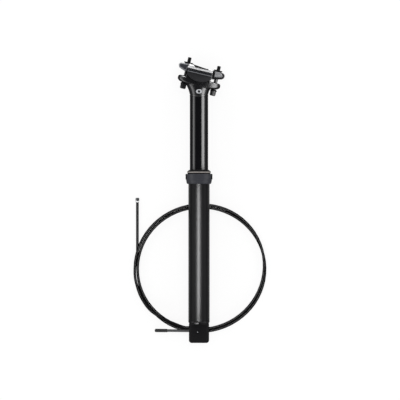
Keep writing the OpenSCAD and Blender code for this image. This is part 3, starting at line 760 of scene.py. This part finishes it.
# %% Machined cuts of the head
cut(head, block("below", (-30, 100, -30), (30, STAN_TOP, 30)))
seat_cut = post("seat_cut", 0, TILT_RISE, CRADLE_R + 0.3, -30, 30, steps=96)
cut(head, place_at(seat_cut, clamp_place))
HOLE_R, SPOT_R = BOLT_R + 0.15, 6.2
for hole_place in (rear_place, front_place):
    section = [(0, -40), (SPOT_R, -40), (SPOT_R, LUG_BOT), (HOLE_R, LUG_BOT), (HOLE_R, 0), (0, 0)]
    cut(head, place_at(turned("hole", section, steps=48), hole_place))
GROOVE_R, GROOVE_TOP = 13.1, 133.1
groove = [(GROOVE_R, 130), (20, 130), (20, GROOVE_TOP), (GROOVE_R, GROOVE_TOP)]
cut(head, turned("joint_groove", groove))
SPIGOT_R, SPIGOT_BORE, SPIGOT_LOW = STAN_BORE - 0.02, 10.1, 116.2
BORE_TOP = 141.7
bore = [(0, 120), (SPIGOT_BORE, 120), (SPIGOT_BORE, BORE_TOP), (0, BORE_TOP)]
cut(head, turned("bore", bore, steps=48))
EYE_Y, EYE_TOP, EYE_DEPTH = 137.4, 14.9, 1.4


def eye_outline(half_w, half_h):
    flat = half_w - half_h
    right = arc(flat, EYE_Y, half_h, -90, 90, 14)
    left = arc(-flat, EYE_Y, half_h, 90, 270, 14)
    return right + left


cut(head, plate("pocket", eye_outline(4.35, 3.15), EYE_TOP - EYE_DEPTH, 22))
cut(head, post("screw_hole", 0, EYE_Y, 1.6, 8, 22))
settle(head, "upper_post", "head_black", forged_black, "head", crease=40)

# %% [markdown]
# The head's spigot goes down into the stanchion. Nobody sees it, but the head isn't
# whole without it, so it is turned as a plain sleeve that rides with the head.

# %% Spigot
spigot = turned(
    "head_spigot",
    [
        (SPIGOT_BORE, SPIGOT_LOW),
        (SPIGOT_R, SPIGOT_LOW),
        (SPIGOT_R, STAN_TOP),
        (SPIGOT_BORE, STAN_TOP),
    ],
)
soften(spigot, 0.3)
settle(spigot, "upper_post", "head_black", forged_black)

# %% Eyelet and its set screw
eyelet = plate("screw_eyelet", eye_outline(4.3, 3.1), EYE_TOP - EYE_DEPTH, EYE_TOP)
soften(eyelet, 0.25, segments=2)
dish = turned("dish", [(0, -4), (1.85, -4), (1.85, -0.3), (2.4, 0.4), (0, 0.4)], steps=48)
STAND_UP = Matrix.Rotation(math.radians(90), 4, "X")
cut(eyelet, place_at(dish, Matrix.Translation((0, EYE_Y * MM, EYE_TOP * MM)) @ STAND_UP))
settle(eyelet, "upper_post", "bright_alloy", satin_alloy, "eyelet")
grub = plate("neck_set_screw", arc(0, EYE_Y, 1.58, 0, 350, 35), 8.1, EYE_TOP - 2.0)
cut(grub, plate("hex_socket", arc(0, EYE_Y, 0.9, 0, 300, 5), EYE_TOP - 3.8, 22))
soften(grub, 0.12, segments=2)
settle(grub, "upper_post", "dark_steel", oxide_steel, "set_screw")

# %% [markdown]
# ## Bolts, washers and barrel nuts
# Each clamp bolt is a socket-head screw: a knurled head with a hex socket, and a thread
# that shows above its nut. The thread is drawn as a row of ridges in the section, which
# the eye can't tell from a helix at this size. One function models both bolts, which
# differ in length.

# %% Clamp bolts
BOLT_HEAD_R = 4.4
WASHER_BOT = LUG_BOT - 2.5
THREAD = 19
FLUTES = 24


def clamp_bolt(name, bolt_place, top):
    """A socket-head bolt along the clamp's Y, with a thread near its top."""
    pitch, crest, root = 0.9, BOLT_R, BOLT_R - 0.4
    head_bot, head_top = LUG_BOT - 9.5, WASHER_BOT
    section = [(0, head_bot), (2.9, head_bot), (3.7, head_bot + 0.35), (4.2, head_bot + 1.0)]
    section += [(BOLT_HEAD_R, head_bot + 1.9), (BOLT_HEAD_R, head_top), (crest, head_top)]
    y = top - THREAD
    section.append((crest, y))
    while y + pitch < top - 0.6:
        section += [(root, y + pitch * 0.5), (crest, y + pitch)]
        y += pitch
    section += [(2.0, top), (0, top)]
    bolt = turned(name, section, steps=64)
    low, high = head_bot - 1, head_bot + 3.5
    cut(bolt, turned("socket", [(0, low), (2.3, low), (2.3, high), (0, high)], steps=6))
    rise = Matrix.Translation((0, (head_bot + 2.0) * MM, 0))
    for i in range(FLUTES):
        flute = plate("flute", arc(4.55, 0, 0.32, 0, 315, 7), 0, 4.4)
        turn = Matrix.Rotation(math.radians(360 / FLUTES * i), 4, "Y") @ rise
        cut(bolt, place_at(flute, turn @ Matrix.Rotation(math.radians(-90), 4, "X")))
    return place_at(bolt, bolt_place)


rear_bolt = clamp_bolt("rear_clamp_bolt", rear_place, 16.3)
front_bolt = clamp_bolt("front_clamp_bolt", front_place, 13.7)
settle(rear_bolt, "upper_post", "dark_steel", oxide_steel, "rear_bolt", crease=28)
settle(front_bolt, "upper_post", "dark_steel", oxide_steel, "front_bolt", crease=28)

# %% Conical washers
washer = turned(
    "bolt_cone_washers",
    [(2.85, WASHER_BOT), (5.2, WASHER_BOT), (5.2, LUG_BOT - 1.9), (3.8, LUG_BOT), (2.85, LUG_BOT)],
    steps=64,
)
soften(washer, 0.15, segments=2)
pick(washer)
bpy.ops.object.duplicate()
second = bpy.context.object
place_at(washer, rear_place)
place_at(second, front_place)
join(washer, second)
settle(washer, "upper_post", "dark_steel", oxide_steel, "bolt_washers")

# %% Barrel nuts
NUT_R, NUT_HALF = 4.5, 7.0
for name, along, seat, low, wide, node in (
    ("rear_barrel_nut", REAR, REAR_SEAT, 7.2, 6.8, "rear_nut"),
    ("front_barrel_nut", FRONT, FRONT_SEAT, 5.7, 6.3, "front_nut"),
):
    middle = seat + 0.3 + NUT_R
    right = [(5.1, middle + 0.4), (5.1, low), (wide, low), (wide, low + 1.4)]
    left = [(-x, y) for x, y in reversed(right)]
    barrel = plate(
        name,
        arc(along, middle, NUT_R, 190, 350, 24) + [(along + x, y) for x, y in right + left],
        -NUT_HALF,
        NUT_HALF,
    )
    soften(barrel, 0.4)
    thread_r = BOLT_R + 0.05
    hole = turned("hole", [(0, -20), (thread_r, -20), (thread_r, 30), (0, 30)], steps=48)
    cut(barrel, place_at(hole, Matrix.Translation((along * MM, 0, 0))))
    place_at(barrel, clamp_place)
    settle(barrel, node, "dark_steel", oxide_steel, node)

# %% [markdown]
# ## The lower cradle
# The cradle is a boat that rocks in the head's curved seat. Its rail grooves are open to
# the side and cut with slanted teeth that bite the rails. Teeth are real cuts here: the
# same wedge is taken away again and again along the groove. The teeth's crests are
# painted lighter, as painted light that lifts them out of the groove's shade, and the
# grooves' lips carry a painted highlight along their edge, so those faces get finishes of
# their own.

# %% Cradle body
JAW = 18.5
HALF_W = 25.0
PART = 0.5
boat = plate(
    "rail_cradle",
    [(-JAW, -PART), (-JAW, -8.6)]
    + arc(0, TILT_RISE, CRADLE_R, 225.2, 314.8, 32)
    + [(JAW, -8.6), (JAW, -PART)],
    -17.0,
    17.0,
)
jaws = block("jaws", (-JAW, -5.0, -HALF_W), (JAW, -PART - 0.01, HALF_W))
combine(boat, jaws, "UNION")
RAIL_Z, RAIL_R, RAIL_OUT = 22.0, 3.5, 26.0


def rail_cut(name, section, side):
    """A cutter along one rail, from its section as distance out and height in mm."""
    cutter = plate(name, [(side * out, up) for out, up in section], -60, 60)
    return place_at(cutter, Matrix.Rotation(math.radians(-90), 4, "Y"))


for side in (-1, 1):
    bed = arc(RAIL_Z, 0, RAIL_R, 180, 270, 16)
    bed += [(RAIL_OUT, -4.64), (RAIL_OUT, 1.0), (RAIL_Z - RAIL_R, 1.0)]
    cut(boat, rail_cut("bed", bed, side))
cut(boat, block("notch", (REAR - 10, -26, -3.3), (REAR + 5.9, 1, 3.3)))
soften(boat, 0.25, segments=2)
print("cradle", len(boat.data.polygons), "faces before its teeth")

# %% Teeth in the cradle's grooves
TOOTH = [(-0.7, -4.3), (0.7, -4.3), (3.3, 0.2), (1.9, 0.2)]
TEETH, FIRST_TOOTH, TOOTH_PITCH = 12, 15.6, 2.9
for low, high in ((17.9, 22.6), (-22.6, -17.9)):
    for i in range(TEETH):
        outline = [(x - FIRST_TOOTH + TOOTH_PITCH * i, y) for x, y in TOOTH]
        cut(boat, plate("tooth", outline, low, high))


def boat_finish(face):
    """0 for the body, 1 for the teeth's crests, painted light against the groove's shade, 2 for
    the grooves' lips, a painted highlight.
    """
    _, y, z = (c / MM for c in face.center)
    from_rail = math.hypot(y, abs(z) - RAIL_Z)
    if abs(z) < RAIL_Z + 0.4 and abs(from_rail - RAIL_R) < 0.15 and abs(face.normal.x) < 0.3:
        return 1
    lip = abs(z) > HALF_W - 0.6 and y < -3.4
    return 2 if lip and face.normal.y > -0.5 and abs(face.normal.x) < 0.5 else 0


# Painted light: the teeth's crests are painted a lighter grey against the groove's shade, and the
# lips carry a painted highlight along their edge.
paint(boat, (etched_black, dark_grey, rim_highlight_grey), boat_finish)
place_at(boat, clamp_place)
settle(boat, "saddle_clamp", "head_black", etched_black, "lower_cradle")

# %% [markdown]
# ## The upper clamp
# The upper clamp spans both rails, with a boss at each end that holds a barrel nut. The
# clamp is anodised black, but its jaws are clear, the front boss's raised face is milled
# bare, and the rear boss is dark grey. The rear boss's top and lower rims are painted
# lighter greys: painted highlights along its edges. Those faces are picked by their
# place and given other finishes.

# %% Clamp body
upper = plate(
    "rail_clamp",
    [(-JAW, PART), (JAW, PART), (JAW, 5.4), (9, 4.9), (3.5, 5.3)]
    + [(-5, 6.2), (-13, 6.9), (-JAW, 7.2)],
    -17.4,
    17.4,
)
jaws = plate(
    "jaws",
    [(-JAW - 0.4, PART + 0.01), (JAW - 0.05, PART + 0.01), (JAW - 0.05, 4.8), (12, 4.95)]
    + [(9, 4.8), (0, 4.9), (-8, 5.2), (-13, 5.8), (-14.2, 6.0), (-17.6, 6.3), (-JAW - 0.4, 2.4)],
    -HALF_W,
    HALF_W,
)
combine(upper, jaws, "UNION")
rear_boss = plate(
    "rear_boss",
    [(-33, 0.2), (-31.5, -1.6), (-24.2, -4.5), (-JAW - 1, -4.8), (-JAW - 1, PART + 0.3)]
    + [(-9, PART + 0.3), (-9, 5.4), (-13, 6.6), (-19.7, 6.1), (-31, 5.5), (-33.4, 3.4)],
    -11.0,
    11.0,
)
soften(rear_boss, 1.8, segments=5)
combine(upper, rear_boss, "UNION")
front_boss = plate(
    "front_boss",
    [(JAW - 8, PART + 0.3), (JAW + 0.2, PART + 0.3), (JAW + 0.2, -8.0), (22, -7.4), (28, -6.0)]
    + [(34, -4.5), (36.6, -2.2), (37.3, 0.6), (36.2, 2.9), (33.5, 4.4)]
    + [(JAW + 1, 5.2), (JAW - 8, 4.7)],
    -9.8,
    9.8,
)
soften(front_boss, 1.0, segments=4)
combine(upper, front_boss, "UNION")
boss_face = plate(
    "boss_face",
    [(22.6, -4.3), (33.6, -1.9), (34.2, -0.6), (32.4, 2.6), (29.3, 4.3), (26.0, 4.7), (21.9, 4.3)],
    -11.0,
    11.0,
)
combine(upper, boss_face, "UNION")
for side in (-1, 1):
    roof = arc(RAIL_Z, 0, RAIL_R, 180, 90, 16)
    roof += [(RAIL_OUT, RAIL_R), (RAIL_OUT, -1.0), (RAIL_Z - RAIL_R, -1.0)]
    cut(upper, rail_cut("roof", roof, side))
for along, seat in ((REAR, REAR_SEAT), (FRONT, FRONT_SEAT)):
    sides = [(along - 5.6, seat), (along + 5.6, seat), (along + 6.9, 9), (along - 6.9, 9)]
    cut(upper, plate("pocket", sides, -8, 8))
    cut(upper, block("slot", (along - 4.7, -20, -3.1), (along + 4.7, 20, 3.1)))
ARCH = [(-12.5, 8), (-10.2, 4.4), (-7.5, 2.6), (9.0, 2.6), (11.5, 4.0), (12.0, 8)]
for side in (-1, 1):
    low, high = sorted((side * 24.1, side * 60.0))
    cut(upper, plate("arch", ARCH, low, high))
soften(upper, 0.4, segments=2)
print("clamp", len(upper.data.polygons), "faces")


# %% Clamp finishes
CLAMP_FINISHES = (forged_black, clear_alloy, grey_alloy, dark_grey, rim_highlight_grey, pin_end_and_rim_highlight_grey)


def clamp_finish(face):
    """0 body, 1 jaws, 2 front boss's face, 3 rear boss's face, 4 its lower rim and 5 its top rim,
    both painted highlights.
    """
    x, y, z = (c / MM for c in face.center)
    flat = abs(face.normal.z) > 0.99
    recessed = y > 3.0 and -11.4 < x < 11.0
    if abs(z) > 17.5 and abs(x) < JAW + 0.5 and face.normal.y < 0.6 and not recessed:
        return 1
    if abs(z) > 10.95 and flat and x > JAW:
        return 2
    if abs(z) > 9.1 and x < -JAW and abs(face.normal.z) > 0.2:
        # The rims are told apart by which way they face: both lighter greys are painted
        # highlights, the top one brighter.
        rim = 5 if face.normal.y > 0.15 else 4
        return 3 if flat else rim
    return 0


paint(upper, CLAMP_FINISHES, clamp_finish)
place_at(upper, clamp_place)
settle(upper, "saddle_clamp", "bright_alloy", forged_black, "upper_clamp")

# %% [markdown]
# ## The foot
# The actuator's housing is a die casting with two flats, grained by shot blasting, and
# with rounded lower corners. The back cover and its screws are separate pieces, and so
# are the turned base plug and the nut that shows in the gap above the casting. The
# housing's two ports stay open, with the ferrules and the cable in them.

# %% Actuator casting
FOOT_R, FLAT, COVER = 15.05, 9.6, 7.0
FOOT_TOP, FOOT_BOT = -208.2, -236.2


def foot_outline():
    corner = 4.0
    right = arc(FOOT_R - corner, FOOT_BOT + corner, corner, 0, -90, 8)
    left = arc(corner - FOOT_R, FOOT_BOT + corner, corner, -90, -180, 8)
    return [(FOOT_R, FOOT_TOP)] + right + left + [(-FOOT_R, FOOT_TOP)]


def foot_slice(name, low, high):
    """The foot's outline between two heights, rounded like the tube at its sides."""
    piece = plate(name, foot_outline(), low, high)
    radius = FOOT_R - 0.02
    section = [(0, -240), (radius, -240), (radius, -200), (0, -200)]
    return combine(piece, turned("round_side", section, steps=128), "INTERSECT")


PIVOT, PIN_R = (-2.0, -220.2), 1.5
PORT_X, PORT_R, ROD_R = -13.8, 2.08, 5.0
casting = foot_slice("actuator_casting", -COVER, FLAT)
cut(casting, block("cavity", (-8.5, FOOT_BOT + 3, -8), (7, FOOT_TOP - 2, COVER)))
cut(casting, block("port_face", (-20, -221.6, -8), (PORT_X, -210.67, -1.9)))
cut(casting, post("dimple", *PIVOT, 2.6, FLAT - 0.6, 12, steps=48))
cut(casting, post("pin_hole", *PIVOT, PIN_R, 0, 12, steps=32))
cut(casting, turned("rod_hole", [(0, -215), (ROD_R, -215), (ROD_R, -205), (0, -205)], steps=48))
RIM_IN, RIM_OUT, RIM_LOW, RIM_TOP = 12.4, FOOT_R - 0.3, FOOT_TOP - 0.5, -206.05
rim_section = [(RIM_IN, RIM_LOW), (RIM_OUT, RIM_LOW), (RIM_OUT, RIM_TOP), (RIM_IN, RIM_TOP)]
rim = turned("rim", rim_section, steps=96)
cut(rim, block("window", (-8.2, FOOT_TOP - 0.1, 4), (-0.4, -205, 20)))
combine(casting, rim, "UNION")
soften(casting, 0.5, segments=3)
LEAD_TURN = Matrix.Rotation(math.radians(-90), 4, "Z")
LEAD_PLACE = Matrix.Translation((PORT_X * MM, LEAD_START.y * MM, LEAD_START.z * MM)) @ LEAD_TURN
STUB_TURN = Vector((0, 1, 0)).rotation_difference(stub_way).to_matrix().to_4x4()
STUB_PLACE = Matrix.Translation(STUB_PORT * MM) @ STUB_TURN
for port_place, depth, reach in ((LEAD_PLACE, -8.0, 6.5), (STUB_PLACE, STUB_IN - 0.1, 8.0)):
    section = [(0, depth), (PORT_R, depth), (PORT_R, reach), (0, reach)]
    cut(casting, place_at(turned("port", section, steps=32), port_place))
settle(casting, "lower_post", "foot_black", cast_black, "actuator_housing")

# %% Back cover and screws
SCREWS = ((9.4, FOOT_TOP - 6), (9.4, FOOT_BOT + 6), (-10.0, FOOT_BOT + 6))
cover = foot_slice("actuator_back_cover", -FLAT, -COVER)
cut(cover, post("pin_hole", *PIVOT, PIN_R, -12, 0, steps=32))
for x, y in SCREWS:
    cut(cover, post("screw_hole", x, y, 1.25, -12, 0, steps=32))
    cut(cover, post("head_hole", x, y, 2.1, -12, -FLAT + 1.3, steps=32))
soften(cover, 0.4, segments=2)
settle(cover, "lower_post", "foot_black", cast_black, "actuator_cover")
SCREW = [(0, 0), (1.8, 0), (2.05, 0.25), (2.05, 1.3)]
SCREW += [(1.23, 1.3), (1.23, 9.3), (0.9, 9.6), (0, 9.6)]
screws = []
for x, y in SCREWS:
    screw = turned("cover_screw_set", SCREW, steps=40)
    cut(screw, turned("socket", [(0, -1), (1.0, -1), (1.0, 1.0), (0, 1.0)], steps=6))
    place_at(screw, Matrix.Translation((x * MM, y * MM, -FLAT * MM)) @ STAND_UP)
    screws.append(screw)
screw_set = join(*screws)
settle(screw_set, "lower_post", "bright_steel", plain_steel, "cover_screws")

# %% Pivot pin, base plug and rod nut
pin = turned(
    "lever_pivot_pin",
    [(0, -FLAT), (1.3, -FLAT), (1.49, 0.2 - FLAT), (1.49, FLAT - 1.2), (1.2, FLAT - 0.9)]
    + [(0.85, FLAT - 0.9), (0.85, FLAT - 0.6), (0.7, FLAT - 0.45), (0, FLAT - 0.45)],
    steps=48,
)
paint(pin, (oxide_steel, pin_end_and_rim_highlight_grey), lambda face: int(face.center.y > (FLAT - 0.85) * MM))
place_at(pin, Matrix.Translation((PIVOT[0] * MM, PIVOT[1] * MM, 0)) @ STAND_UP)
settle(pin, "lower_post", "bright_steel", oxide_steel, "pivot_pin")
PLUG_LOW, PLUG_TOP, PLUG_R = -206, -190, BORE_R - 0.02
plug = turned(
    "tube_base_plug",
    [(ROD_R, PLUG_LOW), (15.5, PLUG_LOW), (TUBE_R, PLUG_LOW + 0.4), (TUBE_R, TUBE_BOT - 0.15)]
    + [(15.3, TUBE_BOT), (PLUG_R, TUBE_BOT), (PLUG_R, PLUG_TOP), (ROD_R, PLUG_TOP)],
    steps=128,
)
settle(plug, "lower_post", "dark_steel", oxide_steel, "base_plug")
nut = turned(
    "foot_rod_nut",
    [(ROD_R, FOOT_TOP), (9.6, FOOT_TOP), (10, FOOT_TOP + 0.4)]
    + [(10, PLUG_LOW - 0.4), (9.6, PLUG_LOW), (ROD_R, PLUG_LOW)],
    steps=6,
)
settle(nut, "lower_post", "bright_steel", clear_alloy, "rod_nut")

# %% [markdown]
# ## End fittings of the housing
# The tail ends in a turned ferrule with a rubber band in its groove. The stub ends in a
# long moulded cap. The lead enters the foot through a flanged ferrule.

# %% Ferrules
BRIGHT_END = 1.4
tail_cap = turned(
    "tail_end_ferrule",
    [(0, 0), (2.4, 0), (2.7, 0.4), (2.7, BRIGHT_END), (2.7, 3.8), (2.1, 3.8), (2.1, 5.2)]
    + [(2.7, 5.2), (2.7, 5.9), (2.2, 6.4), (0.9, 6.4), (0.8, 5.6), (0, 5.6)],
    steps=48,
)
tail_band = turned(
    "tail_ferrule_band",
    [(2.1, 3.8), (2.6, 3.85), (2.7, 4.2), (2.7, 4.8), (2.6, 5.15), (2.1, 5.2)],
    steps=48,
)
paint(tail_cap, (plain_alloy, clear_alloy), lambda face: int(face.center.y < BRIGHT_END * MM))
for piece in (tail_cap, tail_band):
    place_at(piece, Matrix.Translation(TAIL_END * MM))
settle(tail_cap, "lower_post", "bright_alloy", plain_alloy, "tail_ferrule")
settle(tail_band, "lower_post", "seal_rubber", nitrile_rubber, "tail_band")
stub_cap = turned(
    "stub_end_cap",
    [(0, 0), (2.2, 0), (2.5, 0.4), (2.5, 3.0), (2.35, 3.3), (2.35, 3.8), (2.5, 4.1)]
    + [(2.5, 18.3), (1.9, 19.3), (0, 19.3)],
    steps=48,
)
place_at(stub_cap, STUB_PLACE @ Matrix.Translation((0, STUB_OUT * MM, 0)))
settle(stub_cap, "lower_post", "cap_black", cap_plastic, "stub_ferrule")
lead_cap = turned(
    "lead_port_ferrule",
    [(0.9, -1.5), (2.2, -1.5), (2.5, -1.2), (2.5, -0.2), (2.3, 0), (2.05, 0)]
    + [(2.05, 5.6), (0.9, 5.6)],
    steps=48,
)
place_at(lead_cap, LEAD_PLACE)
settle(lead_cap, "lower_post", "cap_black", cap_plastic, "housing_ferrule")

# %% [markdown]
# ## What works inside
# The bushings, cartridge, valve and lever are hidden while the post is whole, and their
# solids are already right, so they only get the finishes of their real materials.

# %% Inner pieces
inner_finishes = {
    bronze: ("upper_bushing", "lower_bushing", "guide_keys", "valve_poppet"),
    plain_steel: ("piston_rod", "push_rod", "inner_cable", "cable_barrel", "valve_spring"),
    plain_alloy: (
        "piston",
        "cartridge_cylinder",
        "cartridge_gland",
        "cartridge_plug",
        "floating_piston",
        "release_lever",
    ),
    nitrile_rubber: ("piston_seals", "topout_bumper", "gland_seal", "floating_seal"),
}
for finish, names in inner_finishes.items():
    for name in names:
        mesh = nodes[name].data
        mesh.materials.clear()
        mesh.materials.append(finish)
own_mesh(nodes["valve_spring"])
print("inner pieces", sum(len(names) for names in inner_finishes.values()))

# %% [markdown]
# ## Floor and lights
# The photo is on plain white with hardly a shadow. A wide soft light from above whitens
# the floor. Black tubes show only what they mirror, so each stripe on them is a light:
# one long strip overhead for the outer tube, with a glow from the table at each side of
# it, and two tall boxes, left and right, beside the stanchion. The boxes end at the
# collar, as the stripes do. Small lights do the rest: one fills the clamp's jaws, two
# draw the edges of the lugs, and one lays a line along each turn of the housing.

# %% Floor
bpy.ops.mesh.primitive_plane_add(size=6, location=(0, 0, TABLE))
floor = bpy.context.object
floor.name = "floor"
paper, _, shader, _ = start_finish("white_paper", Roughness=0.9)
shader.inputs["Base Color"].default_value = linear("#606060")
shader.inputs["Emission Color"].default_value = linear("#ffffff")
shader.inputs["Emission Strength"].default_value = 0.86
floor.data.materials.append(paper)
floor.visible_glossy = False
print("floor at", TABLE, "m")


# %% Lights
def soft_box(name, at, size, watts, reach=(), glossy=True, aim=None):
    """An area light over a place, aimed at the post, that reaches only some pieces."""
    light = bpy.data.lights.new(name, "AREA")
    light.shape = "RECTANGLE"
    light.size, light.size_y = size
    light.energy = watts
    lamp = bpy.data.objects.new(name, light)
    bpy.context.scene.collection.objects.link(lamp)
    lamp.location = at
    way = Vector(aim or (0, at[1], 0)) - Vector(at)
    lamp.rotation_euler = way.to_track_quat("-Z", "Y").to_euler()
    lamp.visible_camera = False
    lamp.visible_glossy = glossy
    if reach:
        lamp.visible_diffuse = False
        flagged = bpy.data.collections.new(name + "_reach")
        for piece in reach:
            flagged.objects.link(piece)
        lamp.light_linking.receiver_collection = flagged
    return lamp


upper_pieces = (stanchion, joint_ring, head, boat, upper)
soft_box("sky", (0, 0, 2.5), (3.0, 3.0), 50, glossy=False)
soft_box("jaw_light", (0, 0.168, 0.6), (0.3, 0.3), 1.9, reach=(upper,), glossy=False)
soft_box("low_strip", (-0.0106, -0.102, 0.15), (0.215, 0.061), 3.7, reach=(outer,))
soft_box("cord_box", (0, -0.125, 1.2), (0.4, 0.4), 44.0, reach=(housing,))
soft_box("left_box", (-0.141, 0.112, 0.051), (0.176, 0.06), 0.10, reach=upper_pieces)
right_pieces = upper_pieces + (front_bolt,)
soft_box("right_box", (0.114, 0.112, 0.098), (0.176, 0.09), 0.6, reach=right_pieces)
for at in ((-0.13, 0.43, 0.09), (0.23, 0.345, 0.08)):
    soft_box("lug_box", at, (0.12, 0.12), 1.3, reach=(head,), aim=(0, 0.155, 0))
for side in (-1, 1):
    at = (0.062 * side, -0.102, TABLE + 0.001)
    soft_box("floor_glow", at, (0.075, 0.215), 0.05, reach=(outer,), aim=(at[0], at[1], 1))

# %% Ring of soft light around the table
world = bpy.data.worlds.new("studio")
bpy.context.scene.world = world
world.use_nodes = True
tree = world.node_tree
way = add_node(tree, "ShaderNodeTexCoord").outputs["Generated"]
height = add_node(tree, "ShaderNodeSeparateXYZ", {"Vector": way}).outputs["Z"]
ends = {"Value": height, "From Min": -1.0, "From Max": 1.0}
level = add_node(tree, "ShaderNodeMapRange", ends)
ring = add_node(tree, "ShaderNodeValToRGB", {"Fac": level.outputs["Result"]})
# How bright the ring is at each height, from straight below (0) to straight above (1).
RING = ((0.0, 0.06), (0.52, 0.06), (0.60, 1.0), (0.78, 1.0), (0.84, 0.012))
for at, _ in RING[1:-1]:
    ring.color_ramp.elements.new(at)
for stop, (at, glow) in zip(ring.color_ramp.elements, RING):
    stop.position, stop.color = at, (glow, glow, glow, 1)
tree.links.new(ring.outputs["Color"], tree.nodes["Background"].inputs["Color"])
tree.nodes["Background"].inputs["Strength"].default_value = 2.0
bpy.context.scene.view_settings.view_transform = "Standard"
